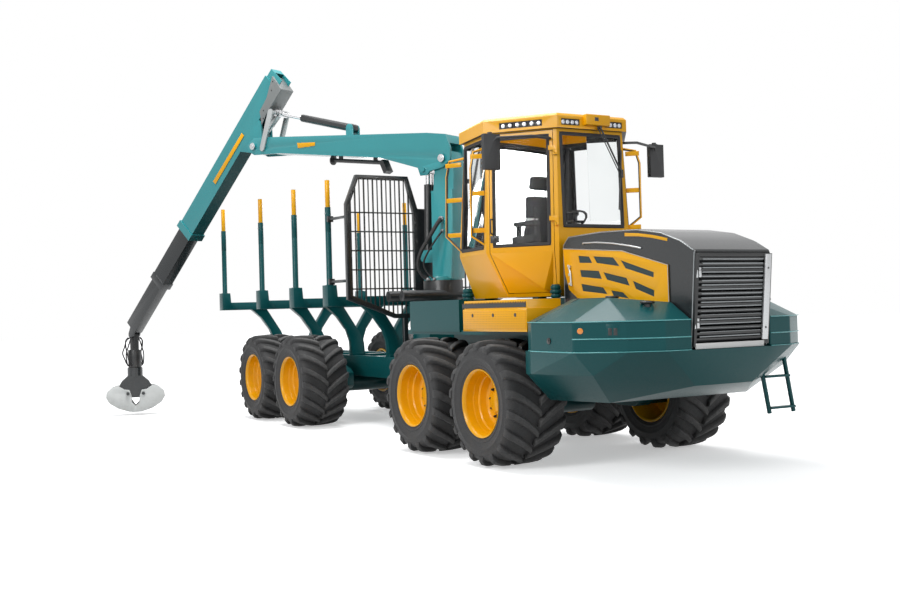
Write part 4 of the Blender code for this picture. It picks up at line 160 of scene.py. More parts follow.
def join(pieces, name):
    """Several pieces as one object."""
    if len(pieces) == 1:
        only(pieces[0])
        return named(name)
    clear()
    for piece in pieces:
        piece.select_set(True)
    bpy.context.view_layer.objects.active = pieces[0]
    bpy.ops.object.join()
    return named(name)


def modify(piece, kind, **settings):
    """Add one modifier and apply it."""
    only(piece)
    change = piece.modifiers.new(kind.lower(), kind)
    for key, value in settings.items():
        setattr(change, key, value)
    bpy.ops.object.modifier_apply(modifier=change.name)
    return piece


def face_outwards(piece, merge=None):
    """Turn every face outwards, after merging points that are closer than a distance."""
    edit(piece)
    bpy.ops.mesh.select_all(action="SELECT")
    if merge:
        bpy.ops.mesh.remove_doubles(threshold=merge)
    bpy.ops.mesh.normals_make_consistent(inside=False)
    leave()
    return piece


def bevel(piece, width, segments=2, degrees=40):
    """A bevel on every edge sharper than an angle."""
    return modify(piece, "BEVEL", width=width, segments=segments, limit_method="ANGLE",
                  angle_limit=math.radians(degrees))


def smooth(piece, degrees=35):
    only(piece)
    bpy.ops.object.shade_smooth_by_angle(angle=math.radians(degrees))
    return piece


def round_edges(piece, width, segments=2, degrees=40):
    """Small bevels, with the faces between them shaded smooth."""
    return smooth(bevel(piece, width, segments, degrees))


def mount(piece, body, slot, material, *replaced):
    """Give a finished piece its material and its body, and hide the CAD nodes it stands for."""
    piece.data.materials.clear()
    piece.data.materials.append(material)
    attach(piece, body)
    if replaced:
        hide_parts(*replaced)
    return piece


print("helpers ready")

# %% [markdown]
# ## Finishes
# Every finish is built from a few node groups. A group makes colours, masks, values and normals only, and the
# Principled shader stays in the material. The first group shifts a colour a little from place to place, as
# sprayed paint does. The second is forest dust, which gathers near the ground. The third is a fine bump.
# %% Node groups


def add_node(tree, kind, **settings):
    node = tree.nodes.new(kind)
    for key, value in settings.items():
        setattr(node, key, value)
    return node


def new_group(name, inputs, outputs):
    """A shader node group with named sockets: (kind, name, default)."""
    tree = bpy.data.node_groups.new(name, "ShaderNodeTree")
    for kind, label, default in inputs:
        socket = tree.interface.new_socket(label, in_out="INPUT", socket_type=kind)
        if default is not None:
            socket.default_value = default
    for kind, label in outputs:
        tree.interface.new_socket(label, in_out="OUTPUT", socket_type=kind)
    return tree, add_node(tree, "NodeGroupInput"), add_node(tree, "NodeGroupOutput")


def noise(tree, vector, scale, detail=4.0, rough=0.55):
    node = add_node(tree, "ShaderNodeTexNoise")
    node.inputs["Detail"].default_value = detail
    node.inputs["Roughness"].default_value = rough
    tree.links.new(vector, node.inputs["Vector"])
    if isinstance(scale, (int, float)):
        node.inputs["Scale"].default_value = scale
    else:
        tree.links.new(scale, node.inputs["Scale"])
    return node.outputs["Fac"]


def ramp(tree, value, low, high, out_low=0.0, out_high=1.0):
    node = add_node(tree, "ShaderNodeMapRange", interpolation_type="SMOOTHSTEP")
    for label, number in (("From Min", low), ("From Max", high), ("To Min", out_low), ("To Max", out_high)):
        if isinstance(number, (int, float)):
            node.inputs[label].default_value = number
        else:
            tree.links.new(number, node.inputs[label])
    tree.links.new(value, node.inputs["Value"])
    return node.outputs["Result"]


def math_node(tree, operation, first, second):
    node = add_node(tree, "ShaderNodeMath", operation=operation)
    for socket, value in zip(node.inputs, (first, second)):
        if isinstance(value, (int, float)):
            socket.default_value = value
        else:
            tree.links.new(value, socket)
    return node.outputs[0]


def blend_colours(tree, factor, first, second, mode="MIX"):
    node = add_node(tree, "ShaderNodeMix", data_type="RGBA", blend_type=mode)
    for socket, value in ((node.inputs[0], factor), (node.inputs[6], first), (node.inputs[7], second)):
        if isinstance(value, (int, float)):
            socket.default_value = value
        elif isinstance(value, tuple):
            socket.default_value = (*value, 1)
        else:
            tree.links.new(value, socket)
    return node.outputs[2]


def bump(tree, height, strength, distance, normal=None):
    node = add_node(tree, "ShaderNodeBump")
    node.inputs["Distance"].default_value = distance
    if isinstance(strength, (int, float)):
        node.inputs["Strength"].default_value = strength
    else:
        tree.links.new(strength, node.inputs["Strength"])
    tree.links.new(height, node.inputs["Height"])
    if normal is not None:
        tree.links.new(normal, node.inputs["Normal"])
    return node.outputs["Normal"]


def tone_group():
    tree, took, gives = new_group("tone", [("NodeSocketColor", "Colour", (0.5, 0.5, 0.5, 1)),
                                           ("NodeSocketFloat", "Scale", 2.0), ("NodeSocketFloat", "Amount", 0.1)],
                                  [("NodeSocketColor", "Colour")])
    place = add_node(tree, "ShaderNodeTexCoord").outputs["Object"]
    cloud = noise(tree, place, took.outputs["Scale"], 3.0)
    darker = blend_colours(tree, 1.0, took.outputs["Colour"], (0.72, 0.74, 0.74), "MULTIPLY")
    share = math_node(tree, "MULTIPLY", ramp(tree, cloud, 0.35, 0.7), took.outputs["Amount"])
    tree.links.new(blend_colours(tree, share, took.outputs["Colour"], darker), gives.inputs["Colour"])
    return tree


def dust_group():
    tree, took, gives = new_group("dust", [("NodeSocketFloat", "Top", 1.2), ("NodeSocketFloat", "Amount", 0.3),
                                           ("NodeSocketFloat", "Scale", 9.0)], [("NodeSocketFloat", "Mask")])
    place = add_node(tree, "ShaderNodeTexCoord").outputs["Object"]
    split = add_node(tree, "ShaderNodeSeparateXYZ")
    tree.links.new(place, split.inputs[0])
    low = ramp(tree, split.outputs["Z"], 0.0, took.outputs["Top"], 1.0, 0.0)
    patches = ramp(tree, noise(tree, place, took.outputs["Scale"], 6.0, 0.65), 0.42, 0.72)
    share = math_node(tree, "MULTIPLY", math_node(tree, "MULTIPLY", low, patches), took.outputs["Amount"])
    tree.links.new(share, gives.inputs["Mask"])
    return tree


def grain_group():
    tree, took, gives = new_group("grain", [("NodeSocketFloat", "Scale", 200.0), ("NodeSocketFloat", "Strength", 0.1)],
                                  [("NodeSocketVector", "Normal"), ("NodeSocketFloat", "Height")])
    place = add_node(tree, "ShaderNodeTexCoord").outputs["Object"]
    height = noise(tree, place, took.outputs["Scale"], 3.0, 0.6)
    tree.links.new(bump(tree, height, took.outputs["Strength"], 0.002), gives.inputs["Normal"])
    tree.links.new(height, gives.inputs["Height"])
    return tree


TONE, DUST, GRAIN = tone_group(), dust_group(), grain_group()
print("node groups:", TONE.name, DUST.name, GRAIN.name)

# %% [markdown]
# One function turns a short row of numbers into a finished material: base colour, roughness, metal, clear coat,
# how much the tone wanders, how much dust there is and how coarse the grain is.
# %% Painted, cast and moulded finishes


def use_group(tree, group, **values):
    node = add_node(tree, "ShaderNodeGroup", node_tree=group)
    for label, value in values.items():
        node.inputs[label].default_value = value
    return node


def finish_of(name, colour, roughness, metallic=0.0, coat=0.0, tone=0.12, dust=0.25, dust_top=1.4,
              dust_colour=(0.16, 0.13, 0.10), grain=260.0, bump_strength=0.03, rough_swing=0.08, shine=0.5):
    """A material whose colour, roughness and bump all vary over the surface."""
    material = bpy.data.materials.new(name)
    material.use_nodes = True
    tree = material.node_tree
    shader = tree.nodes["Principled BSDF"]
    shader.inputs["Metallic"].default_value = metallic
    shader.inputs["Coat Weight"].default_value = coat
    shader.inputs["Coat Roughness"].default_value = 0.06
    shader.inputs["Specular IOR Level"].default_value = shine
    toned = use_group(tree, TONE, Colour=(*colour, 1), Amount=tone)
    dusty = use_group(tree, DUST, Top=dust_top, Amount=dust)
    fine = use_group(tree, GRAIN, Scale=grain, Strength=bump_strength)
    tree.links.new(blend_colours(tree, dusty.outputs["Mask"], toned.outputs["Colour"], dust_colour),
                   shader.inputs["Base Color"])
    swing = ramp(tree, fine.outputs["Height"], 0.3, 0.7, roughness, min(1.0, roughness + rough_swing))
    tree.links.new(math_node(tree, "ADD", swing, math_node(tree, "MULTIPLY", dusty.outputs["Mask"], 0.3)),
                   shader.inputs["Roughness"])
    tree.links.new(fine.outputs["Normal"], shader.inputs["Normal"])
    return material


FINISHES = {
    "body_teal": finish_of("teal paint", (0.003, 0.078, 0.083), 0.26, shine=0.22, dust=0.04),
    # Crane teal is the frame's teal paint made about four times lighter: painted sheen and top light on boom and stick
    "crane_teal": finish_of("crane teal paint lightened as painted sheen", (0.030, 0.300, 0.325), 0.20, coat=0.2, dust=0.0),
    "body_yellow": finish_of("yellow paint", (0.92, 0.44, 0.001), 0.24, coat=0.10, shine=0.3, dust=0.06),
    "charcoal": finish_of("charcoal paint", (0.016, 0.019, 0.021), 0.24, coat=0.22, dust=0.05),
    "black_paint": finish_of("black paint", (0.010, 0.011, 0.012), 0.36, coat=0.1, dust=0.3),
    "tyre_rubber": finish_of("tyre rubber", (0.022, 0.022, 0.023), 0.58, tone=0.3, dust=0.45,
                             dust_colour=(0.075, 0.070, 0.065), grain=90.0, bump_strength=0.18, rough_swing=0.2),
    "bare_steel": finish_of("ground steel", (0.62, 0.62, 0.63), 0.16, metallic=1.0, tone=0.1, dust=0.0),
    "claw_paint": finish_of("claw paint", (0.72, 0.74, 0.73), 0.30, tone=0.2, dust=0.5, dust_top=0.5,
                            dust_colour=(0.35, 0.35, 0.33)),
    "engine_iron": finish_of("engine iron", (0.07, 0.07, 0.075), 0.55, metallic=0.4, grain=120.0, bump_strength=0.2),
    "cab_plastic": finish_of("moulded plastic", (0.022, 0.023, 0.025), 0.48, dust=0.0, grain=700.0,
                             bump_strength=0.25),
    "seat_cloth": finish_of("seat cloth", (0.035, 0.036, 0.040), 0.85, dust=0.0, grain=900.0, bump_strength=0.5),
}
print("finishes:", ", ".join(sorted(FINISHES)))

# %% [markdown]
# Window glass is clear with a faint grey-green tint. It stays a plain Principled shader with transmission, so
# that it exports as glass.
# %% Glass


def glass_of(name, colour, roughness=0.02):
    material = bpy.data.materials.new(name)
    material.use_nodes = True
    tree = material.node_tree
    shader = tree.nodes["Principled BSDF"]
    shader.inputs["Transmission Weight"].default_value = 1.0
    shader.inputs["IOR"].default_value = 1.12
    toned = use_group(tree, TONE, Colour=(*colour, 1), Amount=0.05)
    tree.links.new(toned.outputs["Colour"], shader.inputs["Base Color"])
    fine = use_group(tree, GRAIN, Scale=30.0, Strength=0.01)
    tree.links.new(ramp(tree, fine.outputs["Height"], 0.3, 0.7, roughness, roughness + 0.01),
                   shader.inputs["Roughness"])
    return material


FINISHES["window_glass"] = glass_of("window glass", (0.965, 0.975, 0.975))

# %% [markdown]
# ## Sheet metal
# Real plates have rounded edges that catch the light. Each CAD node is copied, its loose triangles are merged
# back into flat faces, its sharp edges get a small bevel, and the copy stands in for the node.
# %% Dress the CAD nodes
EDGE = {"cab_shell": 0.006, "hood": 0.012, "tank_left": 0.012, "tank_right": 0.012, "front_frame": 0.006,
        "rear_frame": 0.005, "door": 0.003, "boom": 0.005, "stick": 0.005, "column": 0.005, "engine": 0.02,
        "step_box_left": 0.004, "step_box_right": 0.004, "claw_a": 0.003, "claw_b": 0.003,
        "grapple_body": 0.004, "headboard": 0.003, "mirror_left": 0.014, "mirror_right": 0.014}
# Two links in pale link paint, though their slot is the crane's paint
STEEL_LINKS = {"link_boom": "silver_link", "link_stick": "silver_link"}
FINISHES["silver_link"] = finish_of("link paint", (0.50, 0.52, 0.52), 0.28, metallic=0.4, dust=0.0)
# Points closer than MERGE are one; faces within FLAT are one plane; edges over SHARP degrees get a bevel
MERGE, FLAT, SHARP, PLAIN_EDGE = 0.0001, math.radians(0.6), 38, 0.003
# Faceted sheet metal keeps its facets: least angle that is bevelled and left unsmoothed
FACETED = {"tank_left": 8, "tank_right": 8, "front_frame": 14, "hood": 12, "cab_shell": 14, "door": 14,
           "stick": 25, "boom": 25, "grapple_body": 12}


def dress(node, width):
    """A copy of a CAD node with flat faces made whole and sharp edges rounded, in place of the node."""
    piece = added(node + "_form", frame["nodes"][node].data.copy())
    edit(piece)
    bpy.ops.mesh.select_all(action="SELECT")
    bpy.ops.mesh.remove_doubles(threshold=MERGE)
    bpy.ops.mesh.dissolve_limited(angle_limit=FLAT)
    leave()
    least = FACETED.get(node, SHARP)
    smooth(bevel(piece, width, degrees=least), least)
    slot = SLOT_OF[node]
    return mount(piece, BODY_OF[node], slot, FINISHES[STEEL_LINKS.get(node, slot)], node)


DRESSED = {}
for node in sorted(frame["nodes"]):
    if not node.startswith(("tyre_", "rim_", "seat_")):
        DRESSED[node] = dress(node, EDGE.get(node, PLAIN_EDGE))
print("dressed", len(DRESSED), "nodes with rounded edges")

# %% [markdown]
# ## Tyres
# A forestry tyre has tall curved lugs in two staggered rows, for grip in mud. A lug could be an array bent by a
# modifier, but it also swells and drops over the shoulder. So one lug starts as a box, its long edges are
# subdivided, and each of its points is put on the tyre by how far along and across it sits.
# %% One lug
TYRE_RADIUS = 0.664
LUGS, LEAN = 18, math.radians(21)
PITCH = math.tau / LUGS
LUG_STATIONS = 12
# Along a lug: share of its run, radius of its top, half width of its top and of its foot, height from the middle
LUG_RUN = ((0.00, 0.6635, 0.026, 0.046, -0.004), (0.15, 0.6635, 0.030, 0.048, 0.045),
           (0.40, 0.662, 0.031, 0.050, 0.125), (0.65, 0.657, 0.033, 0.054, 0.210), (0.85, 0.648, 0.036, 0.060, 0.285),
           (0.95, 0.634, 0.038, 0.062, 0.330), (1.00, 0.598, 0.038, 0.060, 0.3535))


def along_lug(share):
    """The row of LUG_RUN at a share of the run, between the two rows beside it."""
    for before, after in zip(LUG_RUN, LUG_RUN[1:]):
        if share <= after[0]:
            part = (share - before[0]) / (after[0] - before[0])
            return [a + part * (b - a) for a, b in zip(before[1:], after[1:])]
    return list(LUG_RUN[-1][1:])


def carcass_radius(height):
    """The radius at which a lug's foot stands, 8 mm inside the carcass."""
    return 0.607 - 0.055 * (abs(height) / 0.345) ** 4


def lug():
    """One lug about Z, its inner end at angle 0 and its outer end LEAN further on."""
    clear()
    bpy.ops.mesh.primitive_cube_add(size=2)
    piece = named("lug")
    edit(piece)
    pick(piece, lambda middle, run: abs(run.x) > 1, "EDGE")
    bpy.ops.mesh.subdivide(number_cuts=LUG_STATIONS)
    leave()
    for vert in piece.data.vertices:
        share = (vert.co.x + 1) / 2
        top, top_half, foot_half, height = along_lug(share)
        upper = vert.co.z > 0
        radius = top if upper else carcass_radius(height)
        half = top_half if upper else foot_half
        angle = LEAN * share ** 0.85 + vert.co.y * half / TYRE_RADIUS
        vert.co = (radius * math.cos(angle), radius * math.sin(angle), height)
    return bevel(face_outwards(piece), 0.007, degrees=38)


ONE_LUG = lug()
print("lug:", len(ONE_LUG.data.polygons), "faces")

# %% [markdown]
# The carcass is round, so it is a profile turned about the wheel's axis by the Screw modifier: round shoulders, a
# bulging side wall with two moulded rings, and the bead that sits on the rim. One profile keeps them in step.
# %% Carcass and whole tyre
# One half of the profile: radius, height
CARCASS = ((0.347, 0.298), (0.356, 0.318), (0.372, 0.330), (0.386, 0.334), (0.390, 0.340), (0.402, 0.342),
           (0.408, 0.338), (0.440, 0.345), (0.470, 0.350), (0.476, 0.3545), (0.490, 0.3545), (0.496, 0.350),
           (0.530, 0.350), (0.560, 0.343), (0.582, 0.326), (0.596, 0.295), (0.605, 0.240), (0.611, 0.160),
           (0.614, 0.080), (0.615, 0.0))


def turned(name, profile, steps, closed=False):
    """A profile of radius and height turned about Z with the Screw modifier."""
    corners = [(radius, 0, height) for radius, height in profile]
    edges = [(i, i + 1) for i in range(len(corners) - 1)] + ([(len(corners) - 1, 0)] if closed else [])
    piece = from_corners(name, corners, edges)
    modify(piece, "SCREW", steps=steps, render_steps=steps, use_merge_vertices=True, merge_threshold=MERGE,
           use_normal_calculate=True, axis="Z")
    return face_outwards(piece, MERGE)


# Lugs are polished grey from this radius on, over this depth
WORN_FROM, WORN_OVER = 0.636, 0.020


def tyre_form():
    """The whole tyre about Z, lugs leaning anticlockwise from the middle outwards."""
    ring = list(CARCASS) + [(radius, -height) for radius, height in reversed(CARCASS[:-1])]
    pieces = [turned("carcass", ring, 108, closed=True)]
    start = -math.pi / 2
    for count in range(LUGS):
        spin = Matrix.Rotation(start + count * PITCH, 4, "Z")
        pieces.append(twin(ONE_LUG, "lug_upper", spin))
        under = Matrix.Rotation(start + (count + 0.5) * PITCH, 4, "Z") @ Matrix.Diagonal((1, 1, -1, 1))
        pieces.append(twin(ONE_LUG, "lug_lower", under))
    form = join(pieces, "tyre_form")
    smooth(form, 42)
    worn = form.data.attributes.new("worn", "FLOAT", "POINT")
    for vert, value in zip(form.data.vertices, worn.data):
        reach = math.hypot(vert.co.x, vert.co.y)
        value.value = min(1.0, max(0.0, (reach - WORN_FROM) / WORN_OVER))
    return form


TYRE = tyre_form()
bpy.data.objects.remove(ONE_LUG)
print("tyre:", len(TYRE.data.polygons), "faces")

# %% [markdown]
# Rubber is black in the valleys and greyer where the ground polishes it, so the finish reads the `worn` value
# that the mesh carries. Fine ribs and pores come from noise.
# %% Tyre rubber


def rubber():
    """Lighten the tyre rubber where the mesh says that it is worn."""
    material = FINISHES["tyre_rubber"]
    tree = material.node_tree
    shader = tree.nodes["Principled BSDF"]
    base = shader.inputs["Base Color"].links[0].from_socket
    worn = add_node(tree, "ShaderNodeAttribute", attribute_name="worn").outputs["Fac"]
    place = add_node(tree, "ShaderNodeTexCoord").outputs["Object"]
    patchy = math_node(tree, "MULTIPLY", worn, ramp(tree, noise(tree, place, 22.0, 5.0, 0.6), 0.25, 0.7, 0.35, 0.9))
    tree.links.new(blend_colours(tree, patchy, base, (0.085, 0.084, 0.083)), shader.inputs["Base Color"])
    return material


RUBBER = rubber()

# %% [markdown]
# ## Rims
# The rims are deep-dished steel, painted yellow: a rolled edge, a stepped well, a flat disc with a ring of dark
# wheel nuts, and the hub of the reduction gear in the middle. They are turned in one piece, and the nuts are
# copies of one bevelled hexagon.
# %% Rim, hub and nuts
# Radius, height outwards from the tyre's middle
RIM = ((0.345, -0.296), (0.357, -0.302), (0.357, -0.330), (0.349, -0.3315), (0.327, -0.322), (0.325, 0.020),
       (0.298, 0.020), (0.0, 0.020), (0.0, 0.050), (0.232, 0.050), (0.262, 0.056), (0.284, 0.080), (0.288, 0.140),
       (0.296, 0.152), (0.308, 0.158), (0.312, 0.200), (0.318, 0.212), (0.322, 0.220), (0.324, 0.292), (0.332, 0.312),
       (0.344, 0.322), (0.352, 0.3315), (0.3575, 0.330), (0.3575, 0.304), (0.347, 0.2965))
HUB = ((0.0, 0.048), (0.168, 0.048), (0.168, 0.066), (0.160, 0.074), (0.134, 0.078), (0.130, 0.100), (0.122, 0.112),
       (0.108, 0.118), (0.104, 0.132), (0.094, 0.1395), (0.0, 0.1395))
NUTS, NUT_RING = 12, 0.200
HUB_BOLTS, HUB_BOLT_RING = 12, 0.147


def bolt(name, radius, height, place, sides=6):
    """A hexagon head standing along Z on a place."""
    clear()
    bpy.ops.mesh.primitive_cylinder_add(vertices=sides, radius=radius, depth=height,
                                        location=(place[0], place[1], place[2] + height / 2))
    return bevel(settle(named(name)), min(radius, height) * 0.18)


def ring_of(form, count, start=0.0):
    """Copies of a piece round Z, the first at a start angle."""
    return [twin(form, form.name, Matrix.Rotation(start + math.tau * i / count, 4, "Z")) for i in range(count)]


def rim_form():
    return smooth(bevel(turned("rim_form", RIM, 96, closed=True), 0.0015, 1, 50), 40)


def nuts_form():
    """Wheel nuts on their studs, and the hub's smaller bolts."""
    nut = bolt("nut", 0.0165, 0.024, (NUT_RING, 0, 0.050))
    stud = bolt("stud", 0.0085, 0.036, (NUT_RING, 0, 0.050), 12)
    small = bolt("small", 0.0095, 0.010, (HUB_BOLT_RING, 0, 0.073))
    pieces = ring_of(nut, NUTS) + ring_of(stud, NUTS) + ring_of(small, HUB_BOLTS, 0.13)
    for spare in (nut, stud, small):
        bpy.data.objects.remove(spare)
    return smooth(join(pieces, "nuts_form"), 35)


def hub_form():
    hub = smooth(bevel(turned("hub_form", HUB, 72), 0.002), 40)
    plug = bolt("plug", 0.020, 0.0005, (0.055, 0, 0.139))
    return smooth(join([hub, plug], "hub_form"), 38)


RIM_FORM, NUTS_FORM, HUB_FORM = rim_form(), nuts_form(), hub_form()
print("rim:", len(RIM_FORM.data.polygons), "nuts:", len(NUTS_FORM.data.polygons), "hub:", len(HUB_FORM.data.polygons))

# %% [markdown]
# Each wheel gets its own tyre, rim, nuts and hub. The left wheels are the same wheels turned half way round an
# upright axis, and each wheel is turned a little further than the last so that the lugs don't line up.
# %% Place the wheels
NUT_STEEL = finish_of("dark fasteners", (0.045, 0.045, 0.047), 0.34, metallic=0.7, dust=0.2)


def wheel_place(node, side, spin):
    """Where a wheel form goes: to its tyre's middle, its outer face outwards, turned by a spin."""
    lo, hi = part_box(node)
    middle = (Vector(lo) + Vector(hi)) / 2
    outwards = Matrix.Rotation(math.radians(90 if side == "right" else -90), 4, "X")
    return Matrix.Translation(middle) @ outwards @ Matrix.Rotation(spin, 4, "Z")


for side in ("right", "left"):
    for number in range(1, 5):
        node, body = f"tyre_{side}_{number}", f"wheel_{side}_{number}"
        place = wheel_place(node, side, PITCH * 0.37 * (number - 1))
        mirror = Matrix.Identity(4) if side == "right" else Matrix.Diagonal((1, -1, 1, 1))
        tyre = twin(TYRE, f"{node}_tread", place @ mirror)
        mount(tyre, body, "tyre_rubber", RUBBER, node)
        rim = twin(RIM_FORM, f"rim_{side}_{number}_form", place)
        mount(rim, body, "body_yellow", FINISHES["body_yellow"], f"rim_{side}_{number}")
        mount(twin(HUB_FORM, f"hub_{side}_{number}", place), body, "body_yellow", FINISHES["body_yellow"])
        mount(twin(NUTS_FORM, f"nuts_{side}_{number}", place), body, "black_paint", NUT_STEEL)
for spare in (TYRE, RIM_FORM, NUTS_FORM, HUB_FORM):
    bpy.data.objects.remove(spare)
print("wheels dressed: 8")

# %% [markdown]
# ## Small parts kit
# Most fittings on the machine are bars, plates, tubes and bolts. Each maker below starts from a primitive or a
# route and finishes it: a box gets rounded edges, a tube gets round bends, a plate gets an outline and thickness.
# They work in the machine's numbers, and `fit` moves a finished piece into the frame and mounts it on its body.
# %% Bars, plates and tubes


def slab(name, low, high, width=0.004, segments=2):
    """A box between two corners of the machine, with rounded edges."""
    low, high = Vector(low), Vector(high)
    clear()
    bpy.ops.mesh.primitive_cube_add(size=1, location=(low + high) / 2)
    piece = named(name)
    piece.scale = high - low
    return round_edges(settle(piece), width, segments)


def bent(points, bend, steps=5):
    """A route of points with its corners turned into arcs of about the given radius."""
    points = [Vector(point) for point in points]
    route = [points[0]]
    for before, corner, after in zip(points, points[1:], points[2:]):
        into, out = (before - corner), (after - corner)
        reach = min(bend, into.length * 0.49, out.length * 0.49)
        start, end = corner + into.normalized() * reach, corner + out.normalized() * reach
        for i in range(steps + 1):
            share = i / steps
            route.append(start.lerp(corner, share).lerp(corner.lerp(end, share), share))
    return route + [points[-1]]


def swept(name, route, radius, closed=False, resolution=3, ribs=0.0):
    """A round section swept along a route. Ribs narrow every second step."""
    curve = bpy.data.curves.new(name, "CURVE")
    curve.dimensions = "3D"
    curve.bevel_depth = radius
    curve.bevel_resolution = resolution
    curve.use_fill_caps = True
    spline = curve.splines.new("POLY")
    spline.points.add(len(route) - 1)
    for i, (point, place) in enumerate(zip(spline.points, route)):
        point.co = (*place, 1)
        point.radius = 1.0 - ribs * (i % 2)
    spline.use_cyclic_u = closed
    only(added(name, curve))
    bpy.ops.object.convert(target="MESH")
    return bpy.context.object


def tube(name, points, radius, bend=0.0, closed=False, resolution=3):
    """A round tube along a route, with its corners rounded where a bend is given."""
    route = bent(points, bend) if bend else [Vector(point) for point in points]
    return smooth(swept(name, route, radius, closed, resolution), 50)


def sheet_of(name, outline, thickness, width=0.002):
    """A flat outline of points in space, given thickness on its back and small bevels."""
    piece = from_corners(name, outline, faces=[list(range(len(outline)))])
    modify(piece, "SOLIDIFY", thickness=thickness, offset=-1)
    return round_edges(piece, width, 2) if width else smooth(piece)


def drum(name, start, end, radius, width=0.003, sides=32):
    """A cylinder between two points with rounded rims."""
    start, end = Vector(start), Vector(end)
    run = end - start
    clear()
    bpy.ops.mesh.primitive_cylinder_add(vertices=sides, radius=radius, depth=run.length)
    piece = named(name)
    piece.matrix_world = Matrix.Translation((start + end) / 2) @ run.to_track_quat("Z", "Y").to_matrix().to_4x4()
    return round_edges(settle(piece), width, 2)


def to_frame(piece):
    """From the machine's numbers to the frame's."""
    return carry(piece, Matrix.Translation(MACHINE_SHIFT))


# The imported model's slot for each finish that has none of its own
SLOT_FOR = {"seal_rubber": "black_paint", "cover_grey": "black_paint", "warm_lens": "window_glass",
            "mirror_glass": "bare_steel", "silver": "bare_steel", "light_plate": "bare_steel",
            "highlight_and_fitting_grey": "bare_steel", "panel_highlight": "bare_steel", "shaded_mesh_teal": "engine_iron",
            "teal_highlight": "body_teal", "orange_lens": "body_yellow", "perforated": "body_yellow"}


def fit(name, pieces, material, body="front_body"):
    """Join finished pieces, move them into the frame and mount them on a body."""
    whole = to_frame(join(pieces, name))
    return mount(whole, body, SLOT_FOR.get(material, material), FINISHES[material])


FINISHES["seal_rubber"] = finish_of("seal rubber", (0.008, 0.008, 0.009), 0.55, dust=0.0, grain=400.0,
                                    bump_strength=0.1)
FINISHES["warm_lens"] = glass_of("lamp lens", (0.94, 0.95, 0.97), 0.05)
FINISHES["silver"] = finish_of("silver paint", (0.58, 0.59, 0.60), 0.26, metallic=0.6, coat=0.2, dust=0.1)
FINISHES["light_plate"] = finish_of("plain light plate", (0.80, 0.80, 0.79), 0.40, dust=0.05)
FINISHES["orange_lens"] = finish_of("orange lens", (0.90, 0.28, 0.02), 0.18, coat=0.6, dust=0.0)
FINISHES["mirror_glass"] = finish_of("mirror glass", (0.75, 0.77, 0.80), 0.03, metallic=1.0, tone=0.02, dust=0.0,
                                     bump_strength=0.0, rough_swing=0.01)
print("kit ready")

# %% [markdown]
# ## Cab
# Every pane sits in a black rubber seal that is clipped over the edge of the opening. The corners of each opening
# are listed once. A seal is a tube along them with rounded corners, and a flat frame inside it covers the pane's edge.
# %% Window seals
# Corners of each opening on the cab's skin, by the body that carries it
WINDOWS = (
    ("front", "front_body", ((3.5326, -0.41, 2.5), (3.5326, 0.41, 2.5), (3.5021, 0.41, 3.53), (3.5021, -0.41, 3.53))),
    ("left_front", "front_body", ((3.4587, 0.5385, 2.36), (2.9355, 0.957, 2.36), (2.9015, 0.9145, 3.53),
                                  (3.4247, 0.4959, 3.53))),
    ("left_rear", "front_body", ((2.8221, 0.9821, 2.36), (2.152, 0.8663, 2.36), (2.163, 0.8024, 3.53),
                                 (2.8331, 0.9182, 3.53))),
    ("back", "front_body", ((2.0833, 0.78, 2.36), (2.0833, -0.78, 2.36), (2.1179, -0.78, 3.53), (2.1179, 0.78, 3.53))),
    ("right_rear", "front_body", ((2.1494, -0.8692, 2.3), (2.8195, -0.985, 2.3), (2.8311, -0.9179, 3.53),
                                  (2.161, -0.8021, 3.53))),
    ("door", "door", ((2.9565, -0.9432, 2.31), (3.4641, -0.5372, 2.31), (3.429, -0.4934, 3.515),
                      (2.9214, -0.8994, 3.515))))
SEAL_RADIUS = 0.011


def ring_route(corners, bend):
    """A closed route through corners with rounded bends."""
    points = [Vector(corner) for corner in corners]
    start = (points[0] + points[1]) / 2
    return bent([start] + points[1:] + [points[0], start], bend, 6)[:-1]


def border(name, corners, width, lap=0.004, thickness=0.006):
    """A flat rubber frame just inside an opening's edge."""
    points = [Vector(corner) for corner in corners]
    outer, inner = [], []
    for before, corner, after in zip(points[-1:] + points, points, points[1:] + points[:1]):
        into, out = (before - corner).normalized(), (after - corner).normalized()
        outer.append(corner - (into + out) * lap)
        inner.append(corner + (into + out) * width)
    piece = from_corners(name, outer + inner, faces=[(i, (i + 1) % 4, 4 + (i + 1) % 4, 4 + i) for i in range(4)])
    modify(piece, "SOLIDIFY", thickness=thickness, offset=0)
    return round_edges(piece, 0.002, 2)


for name, body, corners in WINDOWS:
    middle = sum((Vector(corner) for corner in corners), Vector()) / 4
    inner = [middle + (Vector(corner) - middle) * 0.99 for corner in corners]
    lip = tube(f"seal_{name}", ring_route(inner, 0.03), SEAL_RADIUS, closed=True)
    fit(f"seal_{name}", [lip, border(f"border_{name}", corners, 0.035)], "seal_rubber", body)
print("seals:", len(WINDOWS))

# %% [markdown]
# The roof carries work lamps in its edge, two or three in each recess: a black housing with two bright bowls and
# clear lenses. The recesses differ in length, so a function builds a lamp of any width facing +X, and each lamp is
# then turned and moved to its place in a recess.
# %% Roof lamps
LAMP_RECESSES = (((3.55, -0.4135), (3.55, -0.1691), 2), ((3.55, 0.1691), (3.55, 0.4135), 2),
                 ((3.0213, -0.8705), (3.4144, -0.5726), 3), ((3.4144, 0.5726), (3.0213, 0.8705), 3),
                 ((2.07, 0.6895), (2.07, 0.3284), 2), ((2.07, -0.3284), (2.07, -0.6895), 2))
LAMP_LOW, LAMP_HIGH, LAMP_INSET, LAMP_GAP = 3.603, 3.667, 0.0052, 0.004


